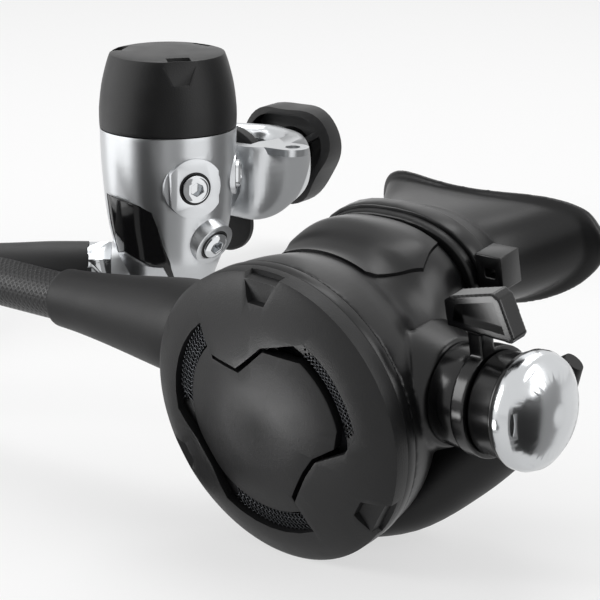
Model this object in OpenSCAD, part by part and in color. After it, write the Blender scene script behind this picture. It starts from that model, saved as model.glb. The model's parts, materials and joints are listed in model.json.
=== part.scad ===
// Scuba regulator set: a yoke first stage, a low-pressure hose and a balanced second stage.
// Millimetres, +Z up. The origin is the centre of the first stage's flat base.

/* [First stage] */
// Radius of the flat base that the first stage stands on
base_r = 12; // [10:0.5:13]
// Height of the metal body, up to the end cap
body_h = 54; // [50:0.5:60]
// Widest radius of the metal body
body_r = 21.5; // [20:0.1:24]
// Height of the black end cap
cap_h = 24; // [22:0.5:30]
// Radius of the end cap's top rim
cap_top_r = 18; // [16:0.1:20]
// Wall of the end cap
cap_wall = 2.4; // [1.8:0.1:3.2]
// Radius of the plugged ports' bores
port_r = 5.2; // [4.5:0.1:6]
// Radius of the bore that the hose screws into
hose_port_r = 4.8; // [4.2:0.1:5.2]
// Wire of the main spring
main_wire = 2.6; // [1.8:0.1:3]

/* [Yoke] */
// Height of the inlet and the yoke's screw above the base
yoke_z = 33.5; // [31:0.5:35]
// Direction that the yoke points in, anticlockwise from +X
yoke_turn = 57; // [50:1:62]
// Radius of the yoke's round outer end, seen from above
yoke_end_r = 24; // [23:0.5:26]
// Radius of the yoke's screw
screw_r = 4.8; // [4:0.1:5.5]
// Turns that take the screw from the dust cap to fully open
screw_turns = 12; // [8:1:14]
// Radius of the black turning knob, over its lobes
yoke_knob_r = 18; // [16:0.5:20]
// Thickness of the turning knob
yoke_knob_w = 12; // [10:0.5:14]

/* [Second stage] */
// Radius of the front cover's rim
cover_r = 36.8; // [36:0.1:37.6]
// Wall of the front cover
cover_wall = 2.4; // [2:0.1:2.8]
// Distance that the purge button travels
purge_travel = 3; // [2:0.1:3.4]
// Distance of the valve barrel's axis behind the cover's rim
barrel_y = 24; // [23:0.5:25]
// Height of the valve barrel's axis above the cover's centre
barrel_z = 4; // [3:0.5:5]
// Outer radius of the valve barrel
barrel_r = 7.5; // [7:0.1:8]
// Radius of the bright breathing adjustment knob
knob_r = 14.2; // [13.5:0.1:15]
// Wall of the moulded housing
housing_wall = 2.6; // [2.2:0.1:3]
// Lowest point of the exhaust tee below the cover's centre
tee_drop = 41.1; // [40.5:0.1:42]

/* [Hose] */
// Outside diameter of the low-pressure hose
hose_d = 12.5; // [11:0.25:13]
// Length of the rubber boot at the first stage; the one at the second stage is 11 mm longer
boot_l = 38; // [34:1:42]

/* [Placing] */
// Where the second stage's cover centre stands, from the first stage, to the right
second_x = 35.5; // [30:0.5:40]
// Where the second stage's cover centre stands, from the first stage, towards the front
second_y = -251.5; // [-260:0.5:-245]
// Turn of the second stage about the vertical
second_turn = -41.2; // [-42:0.1:-40]

/* [Hidden] */
$fn = 64;

// Running gap on the radius of a shaft in its bore
running = 0.06;
// Gap between soft or separate pieces that don't touch
gap = 0.3;

black = [0.05, 0.05, 0.055];
rubber = [0.1, 0.1, 0.1];
chrome = [0.78, 0.79, 0.8];
steel = [0.6, 0.61, 0.63];
silicone = [0.35, 0.36, 0.38];
smoke = [0.2, 0.2, 0.21];

// ---------- Curves and skins ----------

function mix(a, b, t) = a + (b - a) * t;

function rounded_step(a, b, c, d, t) =
    0.5 * ((2 * b) + (c - a) * t + (2 * a - 5 * b + 4 * c - d) * t * t
    + (3 * b - a - 3 * c + d) * t * t * t);

// A smooth run through all points, with `steps` pieces between each two
function smooth(p, steps) = [
    for (i = [0:len(p) - 2], s = [0:steps - 1])
        rounded_step(p[max(i - 1, 0)], p[i], p[i + 1], p[min(i + 2, len(p) - 1)], s / steps),
    p[len(p) - 1],
];

function power(c, e) = sign(c) * pow(abs(c), e);

// A closed oval of half width a and half height b; e is 1 for an ellipse and less for a squarer one
function oval(a, b, e, sides) =
    [for (i = [0:sides - 1]) let (t = 360 * i / sides) [a * power(cos(t), e), b * power(sin(t), e)]];

function middle(ring) = [for (k = [0:2]) [for (p = ring) p[k]] * [for (p = ring) 1] / len(ring)];

// A solid through rings of points. Seen along the rings' order, each ring runs anticlockwise.
module skin(rings, closed = false) {
    n = len(rings[0]);
    m = len(rings);
    points = [for (r = rings) each r, middle(rings[0]), middle(rings[m - 1])];
    sides = [
        for (k = [0:(closed ? m - 1 : m - 2)], i = [0:n - 1])
            let (a = k * n + i, b = k * n + (i + 1) % n,
                 c = ((k + 1) % m) * n + (i + 1) % n, d = ((k + 1) % m) * n + i)
            each [[a, b, c], [a, c, d]],
    ];
    ends = closed ? [] : [
        for (i = [0:n - 1]) each [
            [m * n, (i + 1) % n, i],
            [m * n + 1, (m - 1) * n + i, (m - 1) * n + (i + 1) % n],
        ],
    ];
    polyhedron(closed ? [for (r = rings) each r] : points, concat(sides, ends), convexity = 6);
}

function unit(v) = v / norm(v);

// Rings of the oval sections [a, b] along a route, each square to the route
function along(route, sections, sides, e = 1) = [
    for (i = [0:len(route) - 1])
        let (t = unit(route[min(i + 1, len(route) - 1)] - route[max(i - 1, 0)]),
             u = unit(cross(t, [0, 0, 1])), v = cross(u, t), s = sections[min(i, len(sections) - 1)])
        [for (q = oval(s[0], s[1], e, sides)) route[i] + u * q[0] + v * q[1]],
];

// A coil spring of round wire about +Z, with its wire inside the height h
module coil_spring(mean_r, wire, h, turns) {
    per_turn = 12;
    n = turns * per_turn;
    route = [
        for (i = [0:n])
            [mean_r * cos(360 * i / per_turn), mean_r * sin(360 * i / per_turn),
             wire / 2 + (h - wire) * i / n],
    ];
    skin(along(route, [[wire / 2, wire / 2]], 6));
}

module ring_tube(outer, inner, h) {
    difference() {
        cylinder(r = outer, h = h);
        translate([0, 0, -1]) cylinder(r = inner, h = h + 2);
    }
}

// Points +Z along +X
module along_x() rotate([0, 90, 0]) children();

// Points +Z along +Y
module along_y() rotate([-90, 0, 0]) children();

// ---------- First stage ----------

total_h = body_h + cap_h;
rim_h = total_h - 0.6;

// Outline of the body, [radius, height], from the base up
body_side = smooth([
    [base_r, 0], [base_r + 1.4, 3.2], [body_r - 7, 7.5], [body_r - 5.2, 12], [body_r - 3.9, 17],
    [body_r - 2.5, 22.8], [body_r - 1.6, 28.7], [body_r - 0.9, 36], [body_r - 0.25, 45], [body_r, body_h],
], 2);

function wall_at(z) = lookup(z, [for (p = body_side) [p[1], p[0]]]);

// Ports: [turn from the front towards the right, height, tilt down, boss radius]
front_port = [24, 38.3, 0, 9.4];
side_port = [88, 39, 0, 6.6];
low_port = [46, 20, 26, 7.2];
back_port = [205, 39, 0, 6.6];
hose_port = [-90, 8.5, 0, 8.1];
plug_ports = [front_port, side_port, low_port, back_port];
// How far a level boss stands out from the body's axis; the low hose port clears the wall above it
function boss_reach(p) = p == hose_port ? wall_at(p[1] + p[3]) + 0.6 : wall_at(p[1]) + (p == front_port ? 1.4 : 0.5);

// Puts +Z along a port's axis, starting on the body's axis
module at_port(p) rotate([0, 0, p[0] - 90]) translate([0, 0, p[1]]) rotate([0, 90 + p[2], 0]) children();

// A low port tilts about a point on the wall, so its axis starts above it
module port_axis(p) {
    rise = p[2] > 0 ? wall_at(p[1]) * tan(p[2]) : 0;
    translate([0, 0, rise]) at_port(p) children();
}

function port_reach(p) = p[2] > 0 ? wall_at(p[1]) / cos(p[2]) + 2.2 : boss_reach(p);

plug_depth = 7;
plug_head_r = port_r - 0.9;
chamber_r = 11.5;
chamber_floor = body_h - 8;
diaphragm_t = 2;
seat_floor = 22;
neck_r = 3.4;

// Inlet and yoke, along the yoke's axis from the body's axis
inlet_face = body_r + 0.6;
yoke_base_t = 5;
retainer_r = 8;
retainer_lip = 3.4;
retainer_end = inlet_face + yoke_base_t + retainer_lip;
dust_cap_t = 5;
pad_start = retainer_end + gap + dust_cap_t + gap;
pad_t = 3.6;
pad_r = 7;
pad_end = pad_start - 0.8 + pad_t;
yoke_middle = 38;
yoke_inner_end = yoke_middle + yoke_end_r - 8.5;
boss_end = yoke_middle + yoke_end_r + 3;
screw_pitch = 1.5;
screw_travel = screw_turns * screw_pitch;
knob_start = boss_end + 1;

module at_yoke() translate([0, 0, yoke_z]) rotate([0, 0, yoke_turn]) children();

module body_ports() {
    for (p = plug_ports)
        port_axis(p) {
            difference() {
                cylinder(r = p[3], h = port_reach(p));
                if (p == front_port)
                    for (side = [-1, 1])
                        translate([-20, side * 14.9 - 7, port_reach(p) - 2.2]) cube([40, 14, 4]);
            }
        }
    at_port(hose_port) cylinder(r = hose_port[3], h = boss_reach(hose_port));
    at_yoke() along_x() cylinder(r = 12.5, h = inlet_face);
}

label_az = -34;
label_depth = 0.8;

// Slanted outline of the inlay, [turn from the front, height]
label_outline = [
    [-70, 34], [-40, 33.6], [-24, 32.4], [-13, 30.4], [-8, 25.6], [-4, 20], [3, 14.1], [8, 8.5], [0, 9], [-5, 12.2],
    [-16, 12.2], [-31, 13.8], [-51, 15.8], [-70, 14.5],
];

// The space behind the outline, square to the middle of the inlay
module label_flat() polygon([for (p = label_outline) [wall_at(p[1]) * sin(p[0] - label_az), p[1]]]);
module label_space() rotate([90, 0, label_az]) linear_extrude(40) label_flat();

module first_stage_body() {
    color(chrome) difference() {
        union() {
            rotate_extrude() polygon(concat([[0, 0]], body_side, [[0, body_h]]));
            body_ports();
        }
        // Spring and diaphragm chamber, and the high-pressure bore under it
        translate([0, 0, chamber_floor]) cylinder(r = chamber_r + 5, h = 20);
        translate([0, 0, chamber_floor - 4]) cylinder(r = chamber_r, h = 10);
        translate([0, 0, seat_floor]) cylinder(r = neck_r, h = chamber_floor - seat_floor);
        translate([0, 0, seat_floor]) cylinder(r = 5.6, h = 12);
        for (p = plug_ports)
            port_axis(p) {
                translate([0, 0, port_reach(p) - plug_depth]) cylinder(r = port_r, h = 20);
                cylinder(r = 1.6, h = 30);
            }
        at_port(hose_port) {
            translate([0, 0, boss_reach(hose_port) - 9]) cylinder(r = hose_port_r, h = 20);
            cylinder(r = 2.2, h = 30);
        }
        at_yoke() along_x() {
            translate([0, 0, 10]) cylinder(r = retainer_r, h = 40);
            cylinder(r = 2.5, h = 30);
        }
        label_cut();
    }
}

module body_shell(outer, inner) {
    difference() {
        rotate_extrude() polygon(concat([[0, 0]], [for (p = body_side) [p[0] + outer, p[1]]], [[0, body_h]]));
        rotate_extrude() polygon(concat([[0, -1]], [[body_side[0][0] + inner, -1]],
            [for (p = body_side) [p[0] + inner, p[1]]], [[body_side[len(body_side) - 1][0] + inner, body_h + 1],
            [0, body_h + 1]]));
    }
}

module label_cut() {
    intersection() {
        body_shell(1, -label_depth);
        label_space();
    }
}

module label_inlay() {
    color(black) intersection() {
        body_shell(-0.1, -label_depth);
        rotate([90, 0, label_az]) linear_extrude(40) offset(delta = -0.15) label_flat();
    }
}

// Outline of the end cap, [radius, height]
cap_side = smooth([
    [body_r, body_h], [body_r + 0.1, body_h + 0.25 * cap_h], [body_r - 0.7, body_h + 0.55 * cap_h],
    [mix(body_r, cap_top_r, 0.54), body_h + 0.77 * cap_h], [cap_top_r + 0.6, rim_h - 1.5], [cap_top_r, rim_h],
], 3);
cap_lift = 0.35;
cap_bore = chamber_r + 5 + gap;

module cap_notch() {
    // A slot on top, over a trapezoid recess that points down the slanted side
    translate([0, -cap_top_r + 2.4, total_h]) cube([7.4, 3.4, 3], center = true);
    translate([0, 0.7 - cap_top_r, total_h]) rotate([-14, 0, 0]) rotate([90, 0, 0])
        linear_extrude(4) polygon([[-6.4, 1], [6.4, 1], [2.4, -8], [-2.4, -8]]);
}

module end_cap() {
    color(black) difference() {
        rotate_extrude() polygon(concat([[0, body_h + cap_lift]],
            [for (p = cap_side) [p[0], max(p[1], body_h + cap_lift)]],
            [[cap_top_r - 2, rim_h + 0.5], [cap_top_r * 0.55, total_h + 0.2], [0, total_h + 0.4]]));
        translate([0, 0, body_h - 1]) cylinder(r = cap_bore, h = cap_ceiling - body_h + 1);
        for (a = [15, 135, 255]) rotate([0, 0, a]) cap_notch();
    }
}

spring_floor = chamber_floor + diaphragm_t + 2.4;
cap_ceiling = total_h - cap_wall - 2;
adjuster_h = 7;
spring_top = cap_ceiling - gap - adjuster_h;

module main_spring() {
    color(steel) translate([0, 0, spring_floor]) coil_spring(9.5, main_wire, spring_top - spring_floor, 5);
}

module spring_adjuster() {
    color(steel) translate([0, 0, spring_top]) difference() {
        union() {
            cylinder(r = cap_bore - gap, h = 4);
            cylinder(r = 6, h = adjuster_h);
        }
        translate([0, 0, -1]) cylinder(r = 3, h = 20, $fn = 6);
        translate([0, 0, -1]) cylinder(r = 12.4, h = 2.4);
    }
}

module main_diaphragm() {
    color(rubber) translate([0, 0, chamber_floor]) {
        cylinder(r = chamber_r + 4.8, h = diaphragm_t);
        cylinder(r = chamber_r, h = diaphragm_t + 2.2);
    }
}

lifter_base = seat_floor + 12.2;

module valve_lifter() {
    color(steel) {
        translate([0, 0, chamber_floor - 1.6]) cylinder(r = 6, h = 1.5);
        translate([0, 0, lifter_base]) cylinder(r = 1.4, h = chamber_floor - 1 - lifter_base);
    }
}

module inlet_valve() {
    color(steel) translate([0, 0, seat_floor + 0.1]) {
        cylinder(r = 2, h = 9);
        translate([0, 0, 9]) cylinder(r = 4.6, h = 2.8);
    }
}

module port_plugs() {
    color(chrome) for (p = plug_ports)
        port_axis(p) translate([0, 0, port_reach(p) - plug_depth + 0.6]) difference() {
            union() {
                cylinder(r = port_r, h = plug_depth - 1.3);
                translate([0, 0, plug_depth - 1.4]) cylinder(r = plug_head_r, h = 1.8);
                translate([0, 0, plug_depth + 0.3]) cylinder(r1 = plug_head_r, r2 = plug_head_r - 1.1, h = 0.7);
            }
            translate([0, 0, plug_depth - 2.6]) cylinder(r = 2.2, h = 10, $fn = 6);
        }
}

module port_plug_seals() {
    color(rubber) for (p = plug_ports)
        port_axis(p) translate([0, 0, port_reach(p) - 0.3])
            rotate_extrude() translate([(port_r + plug_head_r) / 2, 0]) circle(r = (port_r - plug_head_r) / 2 - 0.06, $fn = 24);
}

// ---------- Yoke and inlet, in the yoke's own frame: +X outwards, z from the screw's axis ----------

// Half width of the stirrup's middle line, and its section [half thickness, half height]
yoke_arm = yoke_end_r - 4.6;
yoke_line = [
    [inlet_face + 3.4, 0], [inlet_face + 3.5, 8], [inlet_face + 5, yoke_arm - 5.2], [inlet_face + 9.5, yoke_arm - 1.9],
    [yoke_middle, yoke_arm - 0.8], [yoke_middle + 6.5, yoke_arm - 1.9], [yoke_middle + 12.5, yoke_arm - 5.8],
    [yoke_middle + 16.2, yoke_arm - 11.4], [yoke_middle + yoke_end_r - 5.4, 0],
];
yoke_section = [
    [3.2, 12.6], [3.6, 12.8], [5.8, 13.3], [6.8, 13.6], [6.4, 13.4], [5.9, 12.5], [5.3, 11.2], [4.9, 9.9], [4.8, 9.3],
];
// Level that the yoke's top is flattened at, from the screw's axis, and the tether tab on it: [along, across]
yoke_top = 11.2;
yoke_gap = 12.9;
tether_at = [31, -26.5];
tether_r = 2.4;

function yoke_half() = smooth(yoke_line, 3);
function yoke_half_section() = smooth(yoke_section, 3);

module yoke_stirrup() {
    right = [for (p = yoke_half()) [p[0], -p[1], 0]];
    left = [for (i = [len(yoke_half()) - 2:-1:1]) [yoke_half()[i][0], yoke_half()[i][1], 0]];
    size_right = yoke_half_section();
    size_left = [for (i = [len(size_right) - 2:-1:1]) size_right[i]];
    line = concat(right, left);
    size = concat(size_right, size_left);
    n = len(line);
    rings = [
        for (i = [0:n - 1])
            let (t = unit(line[(i + 1) % n] - line[(i + n - 1) % n]), u = unit(cross(t, [0, 0, 1])), v = cross(u, t))
            [for (q = oval(size[i][0], size[i][1], 0.72, 14)) line[i] + u * q[0] + v * q[1]],
    ];
    skin(rings, closed = true);
}

module tether_tab() {
    // Flat tab on the near side, with a hole for a tether
    translate([tether_at[0], tether_at[1], yoke_top - 2.2]) difference() {
        union() {
            translate([-5.2, 0, 0]) cube([10.4, 8, 2.2]);
            cylinder(r = 5.2, h = 2.2);
        }
        translate([0, 0, -1]) cylinder(r = tether_r, h = 5);
    }
}

module yoke() {
    color(chrome) at_yoke() difference() {
        union() {
            yoke_stirrup();
            translate([inlet_face, 0, 0]) along_x() cylinder(r = 13, h = yoke_base_t);
            translate([yoke_inner_end - 1, 0, 0]) along_x() cylinder(r = 10, h = boss_end - yoke_inner_end - 2);
            translate([boss_end - 3, 0, 0]) along_x() cylinder(r1 = 10, r2 = 7.4, h = 3);
            tether_tab();
        }
        translate([inlet_face - 1, -40, yoke_top]) cube([60 - inlet_face, 80, 20]);
        translate([inlet_face - 1, 0, 0]) along_x() cylinder(r = retainer_r + gap, h = yoke_base_t + 2);
        // Clear of the body and its inlet boss, with flat faces inside for the valve and the dust cap
        translate([0, 0, -30]) cylinder(r = body_r + 0.8, h = 60);
        along_x() cylinder(r = 12.9, h = inlet_face);
        translate([inlet_face + yoke_base_t, -yoke_gap, -30]) cube([yoke_middle + 8 - inlet_face - yoke_base_t, 2 * yoke_gap, 60]);
        translate([inlet_face + yoke_base_t, 0, 0]) along_x() cylinder(r = 12.6, h = 6);
        translate([30, 0, 0]) along_x() cylinder(r = screw_r + running, h = 60);
        // Pocket that the pad draws back into
        translate([yoke_middle, 0, 0]) along_x() cylinder(r = pad_r + gap, h = pad_end + screw_travel + gap - yoke_middle);
    }
}

module yoke_retainer() {
    color(chrome) at_yoke() along_x() difference() {
        union() {
            translate([0, 0, 11]) cylinder(r = retainer_r - 0.02, h = inlet_face + yoke_base_t - 11);
            translate([0, 0, inlet_face + yoke_base_t]) cylinder(r = 12, h = retainer_lip, $fn = 8);
        }
        translate([0, 0, 10]) cylinder(r = 3.2, h = 40);
        translate([0, 0, retainer_end - 7]) cylinder(r = 5.2, h = 20);
        translate([0, 0, retainer_end - 1.2]) ring_tube(10, 7.4, 4);
    }
}

module inlet_filter() {
    color([0.62, 0.5, 0.3]) at_yoke() along_x() translate([0, 0, retainer_end - 6.9]) cylinder(r1 = 5.1, r2 = 3.4, h = 5);
}

dust_cap_r = 15;
dust_cap_side = yoke_gap - gap;
dust_tab_r = 9.4;
dust_tab_drop = 17;

module dust_cap() {
    color(rubber) at_yoke() translate([retainer_end + gap, 0, 0]) difference() {
        union() {
            intersection() {
                along_x() {
                    cylinder(r = dust_cap_r - 1.4, h = dust_cap_t);
                    translate([0, 0, 0.8]) cylinder(r = dust_cap_r, h = dust_cap_t - 1.6);
                }
                translate([-1, -dust_cap_side, -30]) cube([20, 2 * dust_cap_side, 60]);
            }
            translate([0, 0, -dust_tab_drop]) along_x() translate([0, 0, 0.8]) cylinder(r = dust_tab_r, h = dust_cap_t - 2);
        }
        // Seat for the screw's pad, and the hollow over the inlet
        translate([dust_cap_t - 0.8, 0, 0]) along_x() cylinder(r = 8, h = 3);
        translate([-1, 0, 0]) along_x() cylinder(r = 7, h = 1.8);
    }
}

module screw_pad() {
    color(steel) at_yoke() translate([pad_start - 0.8, 0, 0]) along_x() difference() {
        union() {
            cylinder(r1 = pad_r - 1.4, r2 = pad_r, h = 1.6);
            translate([0, 0, 1.6]) cylinder(r = pad_r, h = pad_t - 1.6);
        }
        translate([0, 0, 1.8]) cylinder(r = 2.6 + running, h = 10);
    }
}

screw_start = pad_end + 0.1;

module yoke_screw() {
    color(chrome) at_yoke() along_x() {
        translate([0, 0, screw_start]) cylinder(r = screw_r, h = knob_start + yoke_knob_w - 4 - screw_start);
        translate([0, 0, screw_start - 1.6]) cylinder(r = 2.6, h = 2);
    }
}

// Outline of the turning knob: three broad lobes with hollows between them
function knob_outline(r, n) = [
    for (i = [0:n - 1]) let (t = 360 * i / n, dip = pow((1 - cos(3 * t)) / 2, 1.4))
        (r * (1 - 0.19 * dip)) * [cos(t), sin(t)],
];

knob_hollow = 5;

module yoke_knob() {
    color(black) at_yoke() translate([knob_start, 0, 0]) along_x() difference() {
        intersection() {
            linear_extrude(yoke_knob_w) polygon(knob_outline(yoke_knob_r, 48));
            rotate_extrude() polygon([
                [0, 0], [yoke_knob_r - 3, 0], [yoke_knob_r + 1, 2.6], [yoke_knob_r + 0.8, yoke_knob_w - 4.2],
                [yoke_knob_r - 4.5, yoke_knob_w], [0, yoke_knob_w],
            ]);
        }
        // The side towards the yoke is hollow round the hub, with a rib to each lobe
        translate([0, 0, -1]) linear_extrude(knob_hollow + 1) difference() {
            polygon(knob_outline(yoke_knob_r - 2.6, 48));
            circle(r = 8);
            for (a = [0, 120, 240]) rotate(a) translate([0, -1]) square([yoke_knob_r, 2]);
        }
        translate([0, 0, -2]) cylinder(r = screw_r + 0.02, h = yoke_knob_w - 2);
        translate([0, 0, yoke_knob_w - 1.2]) cylinder(r = 8, h = 3);
    }
}

// ---------- Second stage, in its own frame: +X along the barrel, +Y back to the mouthpiece ----------

// Middle of the exhaust tee, [y, half width, half height]; it stands on the tee and on the cover's rim
tee_middle = [27, 15.5, 6.7];
tee_z = tee_middle[2] - tee_drop;
// Slope of the line from the rim's lowest point that just touches the tee
rest_a = pow(tee_middle[0], 2) - pow(tee_middle[1], 2);
rest_b = tee_middle[0] * (tee_z + cover_r);
rest_c = pow(tee_z + cover_r, 2) - pow(tee_middle[2], 2);
second_lean = atan((sqrt(rest_b * rest_b - rest_a * rest_c) - rest_b) / rest_a);
second_lift = cover_r * cos(second_lean);
barrel_end = 37;

module at_second() translate([second_x, second_y, second_lift]) rotate([second_lean, 0, second_turn]) children();
module at_barrel() at_second() translate([0, barrel_y, barrel_z]) children();

// Where a point of the second stage's frame lies in the row's frame
function second_point(p) =
    let (y = p[1] * cos(second_lean) - p[2] * sin(second_lean), z = p[1] * sin(second_lean) + p[2] * cos(second_lean))
    [second_x + p[0] * cos(second_turn) - y * sin(second_turn),
     second_y + p[0] * sin(second_turn) + y * cos(second_turn), second_lift + z];

cover_skirt = 4.2;
ring_end = 7.3;

// The housing's sections from the rim back to the mouthpiece tube: [y, bottom, top, half width, squareness]
housing_sections = smooth([
    [ring_end + 0.2, -cover_r + 0.5, cover_r - 0.5, cover_r - 0.5, 1],
    [11, -cover_r + 0.9, cover_r - 0.9, cover_r - 0.9, 1],
    [15, -35.2, 35.2, 35, 1], [19, -33.4, 34.2, 33.2, 1], [24, -28.5, 32.8, 30.4, 1], [29, -20, 33, 28, 0.95],
    [34, -9, 34.2, 26, 0.9], [40, -0.4, 34.6, 24.6, 0.88], [46, 2, 33.2, 23.2, 0.86],
], 2);
tube_start = 46;
tube_end = 58.5;
tube_sections = [[tube_start - 1, 2.4, 31.8, 22.6, 0.86], [tube_start + 3, 2.6, 31.4, 22.4, 0.86], [tube_end, 3.6, 30.4, 21.6, 0.86]];
airway = [16.4, 9.2, 17];
vane_y = 47;
vane_pin_r = 0.9;

function section_ring(s, grow, sides) = [
    for (q = oval(s[3] + grow, (s[2] - s[1]) / 2 + grow, s[4], sides)) [q[0], s[0], (s[1] + s[2]) / 2 + q[1]],
];

module housing_form(grow) skin([for (s = housing_sections) section_ring(s, grow, 44)]);
module tube_form(grow) skin([for (s = tube_sections) section_ring(s, grow, 36)]);

module stadium_y(half, r, from, to) {
    for (x = [-1, 1]) translate([x * (half - r), from, airway[2]]) along_y() cylinder(r = r, h = to - from);
    translate([r - half, from, airway[2] - r]) cube([2 * (half - r), to - from, 2 * r]);
}

diaphragm_y = 6.6;
cavity_r = cover_r - 3 - housing_wall;
seat_y = 26.5;
seat_z = -35.6;
seat_r = 12.2;
flap_r = 10.6;
boss_r = 16.2;

module housing() {
    color(black) at_second() difference() {
        union() {
            housing_form(0);
            tube_form(0);
            translate([0, barrel_y, barrel_z]) along_x() translate([0, 0, -barrel_end]) cylinder(r1 = 12.9, r2 = boss_r, h = 9);
            translate([0, barrel_y, barrel_z]) along_x() translate([0, 0, barrel_end - 9]) cylinder(r1 = boss_r, r2 = 12.9, h = 9);
            translate([0, seat_y, seat_z]) cylinder(r = seat_r, h = 13);
            translate([0, diaphragm_y, 0]) along_y() cylinder(r = cover_r - 2.9, h = 4);
            // Raised field on top
            intersection() {
                housing_form(0.7);
                translate([0, 0, 15]) linear_extrude(30) offset(r = 2) polygon([[-13, 25], [13, 25], [18.5, 35], [15.5, 43], [-15.5, 43], [-18.5, 35]]);
            }
        }
        translate([0, diaphragm_y, 0]) along_y() cylinder(r = cavity_r, h = 11);
        translate([0, diaphragm_y + 10.9, 0]) along_y() cylinder(r1 = cavity_r, r2 = 12, h = 15);
        stadium_y(airway[0], airway[1], 27, tube_end + 1);
        translate([0, barrel_y, barrel_z]) along_x() translate([0, 0, -50]) cylinder(r = barrel_r + 0.02, h = 100);
        translate([0, vane_y, airway[2]]) cylinder(r = vane_pin_r + running, h = 2 * (airway[1] + 1.5), center = true);
        // Exhaust ports round the valve's stem
        translate([0, seat_y, seat_z - 1]) cylinder(r = 1.7, h = 8);
        for (a = [0:60:300]) translate([0, seat_y, seat_z - 1]) rotate([0, 0, a]) translate([6.4, 0, 0]) cylinder(r = 2.6, h = 20);
    }
}

// Outline of the cover's opening: a broad lobe at 30 degrees, one more to each side of it, and the
// cover's tongues between them as [turn from the broad lobe, radius], all less `inset`
upper_tongue = [[51, 20.8], [64, 17], [79, 15], [100, 21]];
lower_tongue = [[35, 24.9], [49, 17.4], [68, 16.4], [96, 19.8]];
function lobed_half(r, inset, points) = let (turn = inset > 0 ? 3 : 0) concat(
    [for (t = [0:5]) [(26 - turn) * t / 5, r]],
    [for (p = points) [p[0] + (p[0] > 90 ? turn : 0), min(p[1], r) - inset]],
    [for (t = [0:6]) [96 + turn + (58 - 2 * turn) * t / 6, r]],
    [[162, min(r, 25.6 - inset / 2)], [171, 23.6 - inset]]);
function lobed(r, inset) = let (low = lobed_half(r, inset, lower_tongue), n = len(low)) concat(
    [for (p = lobed_half(r, inset, upper_tongue)) p[1] * [cos(30 + p[0]), sin(30 + p[0])]],
    [for (i = [n - 1:-1:1]) low[i][1] * [cos(30 - low[i][0]), sin(30 - low[i][0])]]);

opening_lobe = cover_r - 8.6;
button_lobe = opening_lobe - 5.4;
button_inset = 1.3;

// Front of the cover, [radius, y], from the rim to the middle
function face_y(r) = lookup(r, [
    [0, -6.6], [cover_r - 22.8, -6.1], [cover_r - 18.8, -5.7], [cover_r - 10.8, -4.4], [cover_r - 4.8, -2.7],
    [cover_r - 1.2, -1], [cover_r, 0],
]);

module turned_y(profile) {
    // A profile of [radius, y], turned about the Y axis
    along_y() rotate_extrude() polygon(profile);
}

face_radii = [0, for (d = [22.8, 18.8, 10.8, 4.8, 1.2, 0]) cover_r - d];
module flat_along_y(from, to) translate([0, to, 0]) rotate([90, 0, 0]) linear_extrude(to - from) children();

module rim_notch(a) {
    // Trapezoid recess in the face, and a shallower one in the rim beside it
    for (n = [[cover_r - 6.4, -1.1], [cover_r - 1.4, 2.2]])
        rotate([0, -a, 0]) intersection() {
            translate([cover_r - 6.4, -8, 0]) rotate([-90, 0, 0])
                linear_extrude(8 + n[1]) polygon([[0, -2.4], [9, -6.6], [9, 6.6], [0, 2.4]]);
            translate([n[0], -10, -10]) cube([12, 20, 20]);
        }
}

module front_cover() {
    color(smoke) at_second() difference() {
        turned_y(concat([for (r = face_radii) [r, face_y(r)]], [[cover_r, cover_skirt], [cover_r - cover_wall, cover_skirt]],
            [for (i = [len(face_radii) - 1:-1:0]) [max(face_radii[i] - cover_wall * (i > 4 ? 1 : 0), 0), face_y(face_radii[i]) + cover_wall]]));
        flat_along_y(-12, 6) polygon(lobed(opening_lobe, 0));
        for (a = [87, 207, 327]) rim_notch(a);
    }
}

module retaining_ring() {
    color(black) at_second() translate([0, cover_skirt + 0.1, 0]) along_y()
        ring_tube(cover_r - 0.15, cover_r - 2.6, ring_end - cover_skirt - 0.1);
}

carrier_hole = button_lobe + 0.9;
carrier_in = opening_lobe + 1;
bead_y = 5.4;
button_back = -1.4;
hub_y = button_back + purge_travel + gap;
hub_t = 1.5;
post_r = 4.6;
post_end = 4.9;

module cover_grille() {
    color(black) at_second() difference() {
        union() {
            turned_y([
                [carrier_hole, -1.8], [opening_lobe - 2.4, -1.8], [opening_lobe, -1.25], [opening_lobe + 2.1, -0.65],
                [opening_lobe + 3.6, -0.1], [cover_r - cover_wall - 1.2, 1.8], [cover_r - cover_wall - gap, 2.8], [cover_r - cover_wall - gap, bead_y - 0.1],
                [cavity_r + 0.3, bead_y - 0.1], [cavity_r + 0.3, hub_y + hub_t],
                [carrier_in, hub_y + hub_t], [carrier_in, 0.9], [carrier_in - 0.6, -0.1], [carrier_hole, -0.9],
            ]);
            translate([0, hub_y, 0]) along_y() cylinder(r = 9.6, h = hub_t);
            for (a = [90, 210, 330]) rotate([0, -a, 0]) translate([9, hub_y, -2]) cube([carrier_in - 8, hub_t, 4]);
        }
        translate([0, -5, 0]) along_y() cylinder(r = post_r + gap, h = 20);
        for (lobe = [30, 152, 268], row = [0:3], k = [-9:8])
            rotate([0, -lobe - (k + row / 2) * 3.05, 0]) translate([carrier_hole + 0.7 + row * 0.95, -4, 0])
                along_y() cylinder(r = 0.36, h = 5, $fn = 16);
    }
}

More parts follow.
